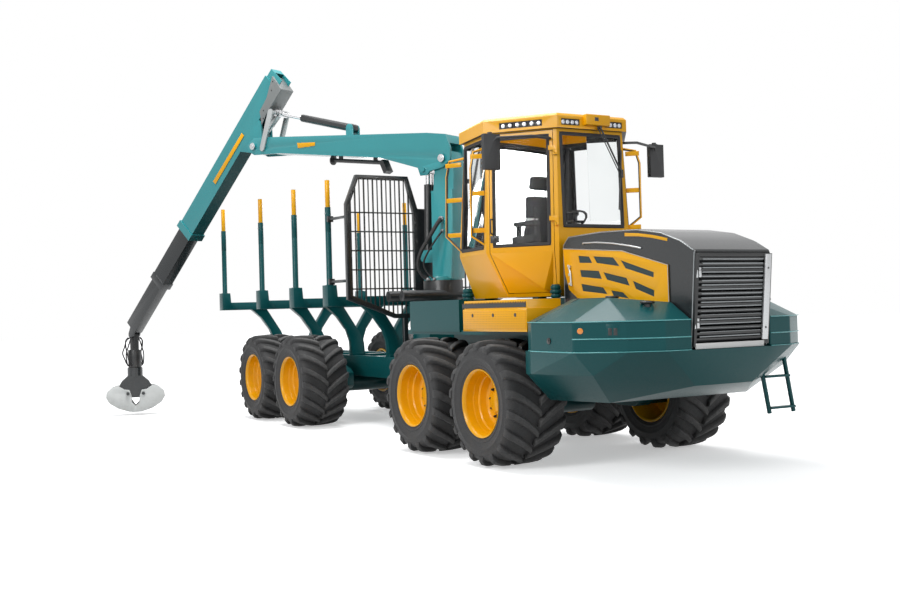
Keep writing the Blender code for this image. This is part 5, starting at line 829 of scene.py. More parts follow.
def lamp_parts(width, height):
    """Housing, bowl and lens of one lamp, facing +X, its mouth at x = 0."""
    housing = slab("lamp_housing", (-0.024, -width / 2, -height / 2), (0.001, width / 2, height / 2), 0.003)
    edit(housing)
    pick(housing, lambda middle, normal: normal.x > 0.99 and middle.x > 0)
    bpy.ops.mesh.inset(thickness=0.006)
    bpy.ops.transform.translate(value=(-0.012, 0, 0))
    leave()
    bowls, lenses = [], []
    for share in (-0.25, 0.25):
        across = width * share
        bowls.append(drum("bowl", (-0.0125, across, 0), (-0.006, across, 0), height * 0.34, 0.002, 24))
        lenses.append(drum("lens", (-0.0055, across, 0), (-0.001, across, 0), height * 0.38, 0.0015, 24))
    return housing, bowls, lenses


def roof_lamps():
    """Fill every recess with its lamps, and return how many there are."""
    housings, bowls, lenses = [], [], []
    for start, end, count in LAMP_RECESSES:
        start, end = Vector((*start, 0)), Vector((*end, 0))
        run = end - start
        facing = Matrix.Rotation(math.atan2(run.y, run.x) - math.pi / 2, 4, "Z")
        outwards = facing @ Vector((1, 0, 0))
        for i in range(count):
            middle = start + run * (i + 0.5) / count - outwards * LAMP_INSET
            place = Matrix.Translation((middle.x, middle.y, (LAMP_LOW + LAMP_HIGH) / 2)) @ facing
            shell, lights, glasses = lamp_parts(run.length / count - LAMP_GAP, LAMP_HIGH - LAMP_LOW)
            housings.append(carry(shell, place))
            bowls.extend(carry(light, place) for light in lights)
            lenses.extend(carry(glass, place) for glass in glasses)
    fit("roof_lamp_housings", housings, "black_paint")
    fit("roof_lamp_bowls", bowls, "silver")
    fit("roof_lamp_lenses", lenses, "warm_lens")
    return len(housings)


print("roof lamps:", roof_lamps())

# %% [markdown]
# The mirrors have a black shell with a glass set into its back, held by a knuckle on the arm. The wiper is a
# motor box on the roof's edge, two parallel arms and a long blade that lies close to the windscreen. The screen
# leans back, so its pieces are placed by their distance from it.
# %% Mirrors and wiper
MIRROR_X, MIRROR_Y, MIRROR_Z = 3.255, 1.129, 3.31
for side_name, side, body in (("left", 1, "front_body"), ("right", -1, "door")):
    y = side * MIRROR_Y
    glass = slab("mirror_glass", (MIRROR_X - 0.034, y - 0.086, MIRROR_Z - 0.175),
                 (MIRROR_X - 0.0285, y + 0.086, MIRROR_Z + 0.175), 0.002)
    fit(f"mirror_glass_{side_name}", [glass], "mirror_glass", body)
    knuckle = [drum("knuckle", (MIRROR_X - 0.02, y, MIRROR_Z + 0.17), (MIRROR_X - 0.02, y, MIRROR_Z + 0.215), 0.026),
               slab("clamp", (MIRROR_X - 0.03, y - 0.03, MIRROR_Z + 0.185),
                    (MIRROR_X + 0.01, y + 0.03, MIRROR_Z + 0.2))]
    fit(f"mirror_knuckle_{side_name}", knuckle, "black_paint", body)


# The cab's sill height, the windscreen's x there, and how much the screen leans back for each metre up
SILL_Z, SCREEN_X, SCREEN_LEAN = 2.25, 3.54, 0.0296
WIPER_PIVOT_Y, KNEE_Y, KNEE_Z = 0.084, 0.384, 3.10


def before_screen(y, z, out):
    """A point in front of the leaning windscreen."""
    return Vector((SCREEN_X - (z - SILL_Z) * SCREEN_LEAN + out, y, z))


def wiper():
    """A motor box over the screen's edge, two parallel arms and a blade with its rubber."""
    box = slab("wiper_box", (3.53, -0.12, 3.608), (3.605, 0.21, 3.728), 0.012, 3)
    fit("wiper_box", [box], "body_yellow")
    pivot = drum("wiper_pivot", (3.53, WIPER_PIVOT_Y, 3.59), (3.592, WIPER_PIVOT_Y, 3.59), 0.018)
    knee = before_screen(KNEE_Y, KNEE_Z, 0.044)
    arms = [tube("wiper_arm", [(3.585, WIPER_PIVOT_Y, 3.59), knee], 0.010),
            tube("wiper_link", [(3.58, 0.045, 3.60), knee - Vector((0, 0.028, 0.01))], 0.006)]
    ends = [before_screen(0.405, 3.36, 0.022), before_screen(0.345, 2.70, 0.022)]
    blade = tube("wiper_blade", ends, 0.009)
    rubber_edge = tube("wiper_rubber", [end - Vector((0.012, 0, 0)) for end in ends], 0.005)
    clip = slab("wiper_clip", knee - Vector((0.026, 0.018, 0.045)), knee + Vector((0.008, 0.018, 0.045)))
    marker = slab("wiper_mark", (3.604, -0.005, 3.655), (3.607, 0.045, 3.695), 0.001)
    fit("wiper", [pivot, *arms, blade, rubber_edge, clip, marker], "black_paint")


wiper()
print("mirrors and wiper fitted")

# %% [markdown]
# Guards of yellow bars stand off the cab's posts, like short ladders. The rails are in the CAD model, and the
# rungs are added here: a rung is one flat bar on edge, turned to point from its rail to the post.
# %% Guard rungs
RUNG_HEIGHTS = (2.51, 2.92, 3.33)
# Each guard rail's place and the foot of its rungs on the cab's post
GUARDS = (((1.932, -0.935), (2.125, -0.835)), ((2.745, -1.085), (2.835, -0.965)), ((3.60, 0.60), (3.50, 0.485)))


def rungs():
    """Flat bars across each guard, standing on edge."""
    bars = []
    for (x, y), (post_x, post_y) in GUARDS:
        run = Vector((post_x - x, post_y - y, 0))
        for z in RUNG_HEIGHTS:
            bar = slab("rung", (-run.length / 2, -0.006, -0.026), (run.length / 2, 0.006, 0.026), 0.003)
            bars.append(carry(bar, Matrix.Translation(((x + post_x) / 2, (y + post_y) / 2, z))
                              @ Matrix.Rotation(math.atan2(run.y, run.x), 4, "Z")))
    return fit("guard_rungs", bars, "body_yellow")


rungs()
print("rungs:", len(GUARDS) * len(RUNG_HEIGHTS))

# %% [markdown]
# The cab stands on four short stacks of rings, which keep the shaking of the frame away from the driver. A ring is
# a cylinder with well rounded rims, so one row of heights and widths gives a whole stack.
# %% Cab feet
FOOT_RINGS = ((1.742, 0.88), (1.787, 1.0), (1.832, 0.88))
feet = []
for x, y, radius in ((2.07, 0.75, 0.075), (3.53, 0.535, 0.062)):
    for y in (-y, y):
        for low, share in FOOT_RINGS:
            feet.append(drum("foot", (x, y, low), (x, y, low + 0.040), radius * share, 0.010, 40))
        feet.append(drum("foot_core", (x, y, 1.730), (x, y, 1.885), radius * 0.7, 0.004, 32))
fit("cab_feet", feet, "body_teal")
print("cab feet:", len(feet))

# %% [markdown]
# The door carries a pull handle, a lock and its latch plate beside the rear post. They have to swing with the
# door, so they are placed by how far along its face they sit, and are mounted on the door's body.
# %% Door handle, lock and latch
DOOR_REAR, DOOR_RUN = Vector((2.89, -1.0, 0)), Vector((0.65, 0.52, 0)).normalized()
DOOR_NORMAL, DOOR_LEAN = Vector((0.6247, -0.7809, 0)), 0.0342


def on_door(along, out, z):
    """A point on the door's upper half: along its face from the rear edge, out from its skin, at a height."""
    return DOOR_REAR + DOOR_RUN * along + DOOR_NORMAL * (out - (z - SILL_Z) * DOOR_LEAN) + Vector((0, 0, z))


handle = [tube("handle", [on_door(0.075, out, z) for out, z in ((0.0, 2.46), (0.05, 2.46), (0.05, 2.62), (0.0, 2.62))],
               0.008, 0.02),
          drum("lock", on_door(0.10, -0.005, 2.40), on_door(0.10, 0.02, 2.40), 0.020),
          sheet_of("latch", [on_door(along, 0.006, z) for along, z in ((0.055, 2.36), (0.155, 2.36), (0.155, 2.44),
                                                                      (0.055, 2.44))], 0.01)]
fit("door_handle", handle, "black_paint", "door")
print("door handle fitted")

# %% [markdown]
# Below the sill the door's skin is pulled in towards the cab's foot. Its front part hangs nearly straight down and
# ends in a slanting fold, a shape with four corners, so it is built from those corners and its edges are rounded.
# A recess with a pull, a round lock and a fine latch line lie on the slanting face.
# %% The door's lower fold and its lock
FOLD = ((2.93, -0.970, 2.246), (3.488, -0.5235, 2.246), (3.400, -0.594, 1.835), (3.425, -0.470, 1.815))
FOLD_FACES = ((0, 2, 1), (0, 3, 2), (1, 2, 3), (0, 1, 3))
LOWER_DOOR_NORMAL = Vector((0.5974, -0.7467, -0.2926))


def on_lower_door(x, y, z, out):
    """A point near the door's slanting lower face, moved out from it."""
    return Vector((x, y, z)) + LOWER_DOOR_NORMAL * out


fold = round_edges(face_outwards(from_corners("door_fold", FOLD, faces=FOLD_FACES)), 0.005, 2, 20)
fit("door_fold", [fold], "body_yellow", "door")
RECESS = ((3.035, -0.800, 2.045), (3.045, -0.775, 1.985), (3.135, -0.705, 1.985), (3.125, -0.735, 2.055))
recess = sheet_of("door_recess", [on_lower_door(*place, 0.006) for place in RECESS], 0.004, 0.001)
fit("door_recess", [recess], "light_plate", "door")
PULL = ((3.030, -0.790, 2.060, 0.008), (3.075, -0.775, 2.066, 0.024), (3.130, -0.730, 2.062, 0.008))
LATCH_LINE = ((3.037, -0.731, 1.868, 0.008), (3.050, -0.705, 1.820, 0.008), (3.200, -0.590, 1.826, 0.008))
LOCK = (3.175, -0.640, 1.905)
lock_parts = [drum("door_lock", on_lower_door(*LOCK, -0.01), on_lower_door(*LOCK, 0.022), 0.026, 0.003, 32),
              tube("pull", [on_lower_door(*point) for point in PULL], 0.006, 0.02),
              tube("latch_line", [on_lower_door(*point) for point in LATCH_LINE], 0.004)]
fit("door_lock", lock_parts, "black_paint", "door")
print("the door's fold and lock fitted")

# %% [markdown]
# ## Hood
# The hood is one folded cover, and a grey tube along each of its edges is a painted highlight where the rounded
# edge catches the light. Each side has a yellow stripe and a raised handle rail. The highlight line could be cut
# from the hood's own edges, but a tube along listed points stays round and even.
# Both sides are alike, so each piece is made for the right side and mirrored.
# %% Hood highlight lines, stripe and handle rail
OTHER_SIDE = Matrix.Scale(-1, 4, (0, 1, 0))
# Grey for the painted highlight lines along the hood's and grille's edges, and for the real hose fittings
FINISHES["highlight_and_fitting_grey"] = finish_of("highlight and fitting grey", (0.30, 0.32, 0.33), 0.25, metallic=0.4, coat=0.2, dust=0.0)
HOOD_SIDE = -0.47
HOOD_LINE = ((3.605, 2.29), (3.70, 2.375), (4.25, 2.388), (4.82, 2.371), (5.17, 2.316), (5.44, 2.222), (5.612, 2.128))


def both_sides(name, pieces, material):
    """Fit the right-hand piece and its mirror image on the front frame."""
    right = join(pieces, name + "_right")
    left = twin(right, name + "_left", OTHER_SIDE)
    fit(name + "_right", [right], material)
    fit(name + "_left", [left], material)


def by_hood(points, out):
    """Places beside the hood's right side from points in x and z."""
    return [Vector((x, HOOD_SIDE - out, z)) for x, z in points]


STRIPE = ((4.632, 2.322), (4.85, 2.306), (5.05, 2.277), (5.26, 2.233), (5.261, 2.262), (5.05, 2.306), (4.85, 2.336),
          (4.634, 2.356))
# Tubes along the hood's edges in this grey are painted highlights
hood_highlights = [tube("highlight_top", by_hood(HOOD_LINE, 0.001), 0.006),
        tube("highlight_front", by_hood(((5.622, 2.115), (5.545, 1.235)), 0.001), 0.006),
        tube("highlight_back", by_hood(((3.604, 2.28), (3.604, 1.60)), 0.001), 0.004)]
both_sides("hood_highlight_lines", hood_highlights, "highlight_and_fitting_grey")
both_sides("hood_stripe", [sheet_of("stripe", by_hood(STRIPE, 0.002), 0.003, 0.001)], "body_yellow")
rail = tube("rail", [(3.95, -0.472, 2.285), (3.97, -0.486, 2.297), (4.20, -0.486, 2.289), (4.45, -0.486, 2.264),
                     (4.70, -0.486, 2.226), (4.86, -0.486, 2.196), (4.88, -0.472, 2.190)], 0.009, 0.02)
both_sides("hood_rail", [rail], "silver")
print("hood trim: 3 lines, a stripe and a rail on each side")

# %% [markdown]
# Mesh shows in the side panel's slots, in the shade of the hollow behind. From any distance it is only a dark
# field, so each slot gets one thin sheet with a coarse bump, in a very dark teal that is partly the mesh and partly
# painted shade. Slots and the edge line are listed as shares of the panel's length and height, which keeps them on
# the panel. A thin pale tube follows the panel's edge as a painted highlight.
# %% Slot mesh in painted shade and panel edge highlight
# Very dark teal: the mesh, darkened as painted shade of the hollow behind the slots
FINISHES["shaded_mesh_teal"] = finish_of("teal mesh and painted shade", (0.004, 0.030, 0.036), 0.45, dust=0.0, grain=150.0, bump_strength=0.6)
FINISHES["panel_highlight"] = finish_of("panel edge highlight", (0.55, 0.53, 0.50), 0.35, dust=0.0)
# The side panel: its start and length along x, its foot and height in z
PANEL = ((3.61, 1.662), (1.50, 0.762))
PANEL_EDGE_SHARES = ((0.0, 0.996), (0.594, 0.894), (0.997, 0.669), (1.0, 0.0))
SLOT_SHARES = (((0.161, 0.877), (0.271, 0.852), (0.301, 0.765), (0.171, 0.778)),
               ((0.313, 0.851), (0.509, 0.813), (0.567, 0.694), (0.347, 0.759)),
               ((0.579, 0.770), (0.876, 0.588), (0.874, 0.522), (0.622, 0.661)),
               ((0.175, 0.681), (0.365, 0.651), (0.394, 0.542), (0.185, 0.587)),
               ((0.410, 0.629), (0.630, 0.535), (0.658, 0.434), (0.443, 0.527)),
               ((0.687, 0.495), (0.875, 0.363), (0.874, 0.281), (0.712, 0.391)),
               ((0.184, 0.492), (0.406, 0.427), (0.443, 0.339), (0.197, 0.392)),
               ((0.480, 0.387), (0.592, 0.353), (0.649, 0.269), (0.502, 0.311)))


def on_panel(share, out):
    """A point on the side panel from its shares of length and height, and out from the hood."""
    (start, length), (low, height) = PANEL
    return Vector((start + length * share[0], HOOD_SIDE - out, low + height * share[1]))


mesh_shade_plates = [sheet_of("slot_mesh_and_shade", [on_panel(share, 0.005) for share in shares], 0.003, 0.0)
               for shares in SLOT_SHARES]
both_sides("slot_mesh_and_shade", mesh_shade_plates, "shaded_mesh_teal")
# A pale tube along the panel's edge: a painted highlight
edge_highlight = tube("edge_highlight", [on_panel(share, 0.0125) for share in PANEL_EDGE_SHARES], 0.004)
both_sides("panel_highlight_line", [edge_highlight], "panel_highlight")
print("slots with mesh:", len(mesh_shade_plates))

# %% [markdown]
# A steel clasp with three bolts keeps the hood's side shut. It is a bent tube, with hexagon drums for the bolts.
# %% Hood clasp
CLASP, BOLT_HEIGHTS = ((3.70, -0.488, 2.08), (3.745, -0.492, 2.0), (3.755, -0.492, 1.86)), (2.06, 1.98, 1.88)
clasp = [tube("clasp", CLASP, 0.011, 0.03)]
clasp += [drum("clasp_bolt", (3.735, -0.480, z), (3.735, -0.506, z), 0.017, 0.002, 6) for z in BOLT_HEIGHTS]
both_sides("hood_clasp", clasp, "silver")
print("clasp bolts:", len(BOLT_HEIGHTS))

# %% [markdown]
# The radiator grille is a hinged door with horizontal fins. Thin grey bars along the fins are painted highlights on
# their edges, a silver frame stands along its free side, and two silver hinges carry it. A plain white strip lies
# below it. The door leans, so one function gives its face's x at each height, and every piece rides on the door's
# body.
# %% Grille fins, frame and hinges
FINS, FIN_LOW, FIN_HIGH = 19, 1.335, 2.045
# The grille door's foot and top in z, its x at the foot, and how far its top stands forward of that
GRILLE_LOW, GRILLE_HIGH, GRILLE_X, GRILLE_LEAN = 1.247, 2.10, 5.567, 0.085


def grille_x(z, out=0.0):
    """x of the leaning grille door's face at a height."""
    return GRILLE_X + (z - GRILLE_LOW) / (GRILLE_HIGH - GRILLE_LOW) * GRILLE_LEAN + out


def grille_plate(name, low, high, left, right, out, thickness, width):
    """A plate in front of the leaning door between two heights and two places across."""
    corners = ((left, low), (right, low), (right, high), (left, high))
    return sheet_of(name, [(grille_x(z, out), y, z) for y, z in corners], thickness, width)


GRILLE = BODY_OF["radiator_grille"]
fin_highlights = []
for i in range(FINS):
    z = FIN_LOW + (FIN_HIGH - FIN_LOW) * i / (FINS - 1)
    x = grille_x(z)
    # Each bar along a fin is a painted highlight on the fin's edge
    fin_highlights.append(slab("lip", (x - 0.004, -0.395, z - 0.006), (x + 0.004, 0.365, z + 0.006), 0.002, 1))
fit("grille_fin_highlights", fin_highlights, "highlight_and_fitting_grey", GRILLE)
fit("grille_frame", [grille_plate("frame_bar", 1.285, 2.09, 0.375, 0.448, 0.022, 0.020, 0.002)], "silver", GRILLE)
screws = [drum("screw", (grille_x(z, 0.018), 0.412, z), (grille_x(z, 0.026), 0.412, z), 0.010, 0.001, 6)
          for z in (1.40, 1.96)]
fit("grille_screws", screws, "black_paint", GRILLE)
hinges = []
for z in (1.46, 1.925):
    x = grille_x(z)
    hinges.append(slab("leaf", (x - 0.004, -0.452, z - 0.045), (x + 0.003, -0.405, z + 0.045), 0.002))
    hinges.append(drum("knuckle", (x, -0.458, z - 0.05), (x, -0.458, z + 0.05), 0.009))
    for drop in (-0.026, 0.026):
        hinges.append(drum("hinge_bolt", (x, -0.428, z + drop), (x + 0.010, -0.428, z + drop), 0.009, 0.001, 6))
fit("grille_hinges", hinges, "silver", GRILLE)
fit("grille_strip", [grille_plate("strip", 1.224, 1.276, -0.45, 0.40, 0.020, 0.012, 0.001)], "light_plate", GRILLE)
print("grille fins:", len(fin_highlights))

# %% [markdown]
# ## Tanks and hull
# The tanks are folded boxes. A thin rib runs round the front of each, and the rib and lines along the edges of tank
# and hull are pale teal tubes, painted highlights where a folded edge catches the light. An orange marker and a
# round lock are drums that stand a few millimetres proud of the plate.
# %% Tank highlight lines, marker and lock
# Corners round a tank in x and distance from the middle: its front only, and its whole rim
RIB_LINE = ((4.99, 1.402), (5.005, 1.398), (5.385, 1.083), (5.563, 0.782), (5.584, 0.50))
RIM_LINE = ((4.162, 0.50), (4.162, 1.33), (4.32, 1.402), (5.0, 1.402), (5.385, 1.083), (5.563, 0.782), (5.584, 0.50))
# A line's name, its corners, its height and its radius
TANK_LINES = (("rib", RIB_LINE, 1.343, 0.006), ("rim_line", RIM_LINE, 1.499, 0.005),
              ("hull_line", RIM_LINE, 1.221, 0.006))
FACET_START, FACET_END, FACET_NORMAL = (5.0, -1.4), (5.38, -1.08), Vector((0.6441, -0.7649, 0))
LOCK_X, LOCK_Z = 4.62, 1.325
# Pale teal for the tubes along the tank and hull edges: a painted highlight
FINISHES["teal_highlight"] = finish_of("painted highlight teal", (0.10, 0.42, 0.43), 0.25, coat=0.2, dust=0.0)


def along_facet(share, z, out):
    """A point on the tank's front corner facet, on the right side."""
    return Vector((*FACET_START, z)).lerp(Vector((*FACET_END, z)), share) + FACET_NORMAL * out


# The rib and the edge lines are all in the pale teal, painted highlights on their edges
ribs = [tube(name, [(x, -y, z) for x, y in line], radius, resolution=2) for name, line, z, radius in TANK_LINES]
both_sides("tank_lines_painted_highlight", ribs, "teal_highlight")
marker = drum("marker", along_facet(0.14, 1.418, -0.004), along_facet(0.14, 1.418, 0.009), 0.028, 0.004, 32)
both_sides("tank_marker", [marker], "orange_lens")
lock = [drum("lock", (LOCK_X, -1.395, LOCK_Z), (LOCK_X, -1.410, LOCK_Z), 0.030, 0.003, 32),
        drum("lock_core", (LOCK_X, -1.408, LOCK_Z), (LOCK_X, -1.414, LOCK_Z), 0.012, 0.002, 24)]
both_sides("tank_lock", lock, "black_paint")
print("tank lines:", len(TANK_LINES))

# %% [markdown]
# Near its front corner each tank has a recessed plate with two slots. The plate and slots are thin sheets laid on
# the slanting facet, the slots black as painted shade inside them, placed by their share of its length, so that
# they follow the facet exactly.
# %% Recess and slots


def facet_plate(name, start, end, low, high, out, thickness):
    """A thin plate on the facet between two shares of its length and two heights."""
    corners = ((start, low), (end, low), (end, high), (start, high))
    return sheet_of(name, [along_facet(share, z, out) for share, z in corners], thickness, 0.001)


recess = facet_plate("recess", 0.62, 0.86, 1.37, 1.475, 0.0025, 0.004)
slots = [facet_plate("slot", start, start + 0.07, 1.375, 1.44, 0.005, 0.003) for start in (0.66, 0.76)]
both_sides("tank_recess", [recess], "body_teal")
# The slots' black is painted shade inside them
both_sides("tank_slot_shades", slots, "black_paint")
print("slots:", len(slots))

# %% [markdown]
# Two caps with a gripping ring stand on each tank. A ring is a tube along a closed circle, on a short stem.
# %% Tank caps and lid gap
CAP_PLACES, CAP_RING, CAP_STEPS = ((4.70, -0.70, 1.725), (5.27, -0.74, 1.665)), 0.055, 24
caps = []
for x, y, z in CAP_PLACES:
    turns = [math.tau * i / CAP_STEPS for i in range(CAP_STEPS)]
    caps.append(tube("cap_ring", [(x + CAP_RING * math.cos(turn), y + CAP_RING * math.sin(turn), z) for turn in turns],
                     0.013, closed=True))
    caps.append(drum("cap_stem", (x, y, z - 0.06), (x, y, z + 0.012), 0.030, 0.004, 24))
both_sides("tank_caps", caps, "black_paint")
both_sides("lid_gap", [tube("lid_gap", [(4.38, -1.40, 1.502), (4.50, -1.18, 1.62), (4.60, -1.02, 1.722)], 0.004)],
           "black_paint")
print("caps:", 2 * len(CAP_PLACES))

# %% [markdown]
# ## Steps
# The step box has a perforated front with three round holes. Thousands of small holes would cost too many
# triangles as geometry, so the paint itself turns dark in a grid of spots, painted shade inside the holes. Each
# spot's distance comes from two ping-pong waves across the plate. The three large holes are short dark drums,
# painted shade inside them.
# %% Perforated step
# The holes' pitch along and up, and the radii between which the paint turns to hole
HOLE_PITCH, HOLE_RADII = (("X", 0.030), ("Z", 0.024)), (0.0035, 0.0050)


def perforated():
    """Yellow paint with rows of small holes painted dark as shade, worked out from the object's own place."""
    material = finish_of("perforated yellow with painted hole shade", (0.90, 0.42, 0.001), 0.3, coat=0.05, shine=0.3, dust=0.1)
    tree = material.node_tree
    shader = tree.nodes["Principled BSDF"]
    place = add_node(tree, "ShaderNodeTexCoord").outputs["Object"]
    split = add_node(tree, "ShaderNodeSeparateXYZ")
    tree.links.new(place, split.inputs[0])
    near = []
    for axis, pitch in HOLE_PITCH:
        across = math_node(tree, "PINGPONG", split.outputs[axis], pitch / 2)
        near.append(math_node(tree, "POWER", across, 2.0))
    reach = math_node(tree, "SQRT", math_node(tree, "ADD", *near), 0.0)
    hole_and_shade = ramp(tree, reach, *HOLE_RADII, 1.0, 0.0)
    base = shader.inputs["Base Color"].links[0].from_socket
    # The holes' dark brown is painted shade inside them; the bump sinks them
    tree.links.new(blend_colours(tree, math_node(tree, "MULTIPLY", hole_and_shade, 0.75), base, (0.20, 0.07, 0.0)),
                   shader.inputs["Base Color"])
    tree.links.new(bump(tree, math_node(tree, "SUBTRACT", 1.0, hole_and_shade), 0.5, 0.002), shader.inputs["Normal"])
    return material


FINISHES["perforated"] = perforated()
front_plate = sheet_of("step_front", [(x, -1.3035, z) for x, z in ((2.875, 1.425), (4.085, 1.425), (4.085, 1.615),
                                                                  (2.875, 1.615))], 0.003, 0.001)
both_sides("step_front", [front_plate], "perforated")
# Dark drums in the three large holes stand for the shade inside them
hole_shade_drums = [drum("eye", (x, -1.300, 1.575), (x, -1.306, 1.575), 0.020, 0.001, 24) for x in (3.07, 3.48, 3.90)]
both_sides("step_hole_shades", hole_shade_drums, "black_paint")
print("eyes:", len(hole_shade_drums))

# %% [markdown]
# The tread above the step is a dark serrated bar that gives grip in mud. Its teeth could be an array of wedges, but
# one zigzag outline with a thickness gives the same bar in a single sheet.
# %% Serrated tread
TREAD_START, TREAD_END, TOOTH_PITCH = 2.84, 4.08, 0.031
TREAD_FOOT, TOOTH_TIP, TOOTH_ROOT = 1.652, 1.712, 1.690


def tread():
    """A bar with a row of teeth along its upper edge."""
    points = [(TREAD_START, TREAD_FOOT)]
    for i in range(int((TREAD_END - TREAD_START) / TOOTH_PITCH)):
        x = TREAD_START + i * TOOTH_PITCH
        points += [(x, TOOTH_TIP), (x + TOOTH_PITCH / 2, TOOTH_ROOT)]
    points += [(TREAD_END, TOOTH_TIP), (TREAD_END, TREAD_FOOT)]
    return sheet_of("tread", [(x, -1.2895, z) for x, z in points], 0.004, 0.0)


both_sides("step_tread", [tread()], "black_paint")
print("step tread made")

# %% [markdown]
# ## Headboard and bunk
# The guard in front of the load has close bars. The CAD model carries every second one, and the rest are added
# here as plain rods welded to the frame, each cut to length where the frame slants in.
# %% Headboard rods
ROD_X, ROD_RADIUS, BAR_PITCH, FIRST_ROD_Y, RODS_PER_SIDE = -0.225, 0.009, 0.134, 0.374, 7
# The frame's upper and lower edge: height, where it starts to slant, and its slope from there
UPPER_EDGE, LOWER_EDGE = (3.45, 1.07, -0.39 / 0.19), (1.575, 0.55, 0.265 / 0.71)


def frame_edge(edge, y):
    """The height of one of the frame's slanting edges at a distance from the middle."""
    height, start, slope = edge
    return height + max(0.0, y - start) * slope


def between_bars():
    """Rods half way between the bars, from the frame's lower beam to its upper one."""
    rods = []
    for i in range(RODS_PER_SIDE):
        y = FIRST_ROD_Y + i * BAR_PITCH
        low, top = frame_edge(LOWER_EDGE, y), frame_edge(UPPER_EDGE, y)
        for y in (-y, y):
            rods.append(tube("rod", [(ROD_X, y, low), (ROD_X, y, top)], ROD_RADIUS, resolution=2))
    return rods


rods = between_bars()
fit("headboard_rods", rods, "black_paint", BODY_OF["headboard"])
print("headboard rods:", len(rods))

# %% [markdown]
# Each stake is a teal tube in a socket with a yellow tip, so that the driver sees where it ends from the cab.
# Tip, sleeve and socket ring are drums round the same axis, and a small bolt holds the sleeve.
# %% Stake tips, sleeves and bolts
STAKE_XS, STAKE_Y = (-5.19, -3.37, -1.97, -0.74), 1.28
tips, sleeves, studs = [], [], []
for x in STAKE_XS:
    for y in (-STAKE_Y, STAKE_Y):
        tips.append(drum("tip", (x, y, 3.08), (x, y, 3.4585), 0.0335, 0.006, 32))
        sleeves.append(drum("sleeve", (x, y, 2.75), (x, y, 3.088), 0.0415, 0.003, 32))
        sleeves.append(drum("socket_ring", (x, y, 1.99), (x, y, 2.025), 0.060, 0.004, 32))
        studs.append(drum("stud", (x, y - 0.036, 3.0), (x, y - 0.050, 3.0), 0.012, 0.002, 6))
for name, pieces, material in (("stake_tips", tips, "body_yellow"), ("stake_sleeves", sleeves, "body_teal"),
                               ("stake_studs", studs, "silver")):
    fit(name, pieces, material, BODY_OF["bolster_1"])
print("stake tips:", len(tips))

# %% [markdown]
# ## Crane
# The crane's pieces are placed in its own plane: distance from the slewing axis, side towards the camera, and
# height. The stick's head is closed by a grey folded cover, and a blank yellow stripe runs along boom and stick.
# A cover's side is one flat outline with its corners listed, and a stripe is a thin sheet on the plate.
# %% Covers and stripes on the crane
CRANE_PLACE = Matrix.Translation((0.15, 0, 0)) @ turn_z(204.1)
FINISHES["cover_grey"] = finish_of("cover grey", (0.22, 0.235, 0.235), 0.32, metallic=0.3, dust=0.0)
STICK_SIDE, BOOM_SIDE = 0.125, 0.160


def on_crane(r, side, z):
    """A point of the crane's plane in the machine's numbers."""
    return CRANE_PLACE @ Vector((r, side, z))


def side_plates(name, outline, side, thickness=0.003):
    """The same plate on both sides of boom or stick."""
    plates = []
    for across in (-side, side):
        points = [on_crane(r, across, z) for r, z in outline]
        plates.append(sheet_of(name, points if across > 0 else points[::-1], thickness, 0.001))
    return plates


HEAD_COVER = ((2.996, 5.235), (2.823, 5.015), (3.139, 4.684), (3.247, 4.522), (3.284, 4.737), (3.132, 4.92))
COVER_SIDE, COVER_THICK = STICK_SIDE + 0.006, 0.004
COVER_SCREWS = ((2.99, 5.15), (3.02, 5.02), (3.20, 4.74), (3.21, 4.62))
STICK_STRIPE = ((3.690, 4.455), (3.640, 4.410), (4.310, 3.715), (4.365, 3.765))
BOOM_MARK = ((2.492, 4.165), (2.132, 4.135), (2.134, 4.085), (2.476, 4.085))
cover = side_plates("cover_side", HEAD_COVER, COVER_SIDE, COVER_THICK)
for (r, z), (next_r, next_z) in zip(HEAD_COVER[:2], HEAD_COVER[1:3]):
    corners = ((r, -COVER_SIDE, z), (r, COVER_SIDE, z), (next_r, COVER_SIDE, next_z), (next_r, -COVER_SIDE, next_z))
    cover.append(sheet_of("cover_end", [on_crane(*corner) for corner in corners], COVER_THICK, 0.001))
fit("stick_cover", cover, "cover_grey", BODY_OF["stick"])
screws = [drum("screw", on_crane(r, STICK_SIDE + 0.004, z), on_crane(r, STICK_SIDE + 0.014, z), 0.012, 0.002, 6)
          for r, z in COVER_SCREWS]
fit("cover_screws", screws, "black_paint", BODY_OF["stick"])
fit("stick_stripes", side_plates("stick_stripe", STICK_STRIPE, STICK_SIDE + 0.003), "body_yellow", BODY_OF["stick"])
fit("boom_marks", side_plates("boom_mark", BOOM_MARK, BOOM_SIDE + 0.003), "body_yellow", BODY_OF["boom"])
print("cover plates:", len(cover), "screws:", len(screws))

# %% [markdown]
# The boom's pins end in round steel washers, each locked by a square keeper. One function makes the pair.
# %% Pin heads
BOOM_PINS, PIN_SIDE, PIN_HEAD = ((3.40, 4.21), (-0.16, 3.67)), 0.192, 0.052


def pin_head(r, z, side, radius):
    """A round washer with a square keeper over a pin's end."""
    sign = 1 if side > 0 else -1
    washer = drum("pin_washer", on_crane(r, side, z), on_crane(r, side + sign * 0.008, z), radius, 0.002, 32)
    keeper = drum("pin_keeper", on_crane(r, side + sign * 0.006, z), on_crane(r, side + sign * 0.020, z),
                  radius * 0.62, 0.002, 4)
    return [washer, keeper]


heads = [part for r, z in BOOM_PINS for side in (-PIN_SIDE, PIN_SIDE) for part in pin_head(r, z, side, PIN_HEAD)]
fit("boom_pin_heads", heads, "silver", BODY_OF["boom"])
print("pin heads:", len(heads) // 2)

# %% [markdown]
# Some faces of a plate have another colour than the rest: the lamp bar under the boom and the cab's inside are
# dark, and the stick's downward faces get the darker teal of the frame as painted shade beside the lighter crane
# teal. The dressed pieces keep their shape and get a second finish on the faces that a test picks by place and normal.
# %% Faces in a second finish


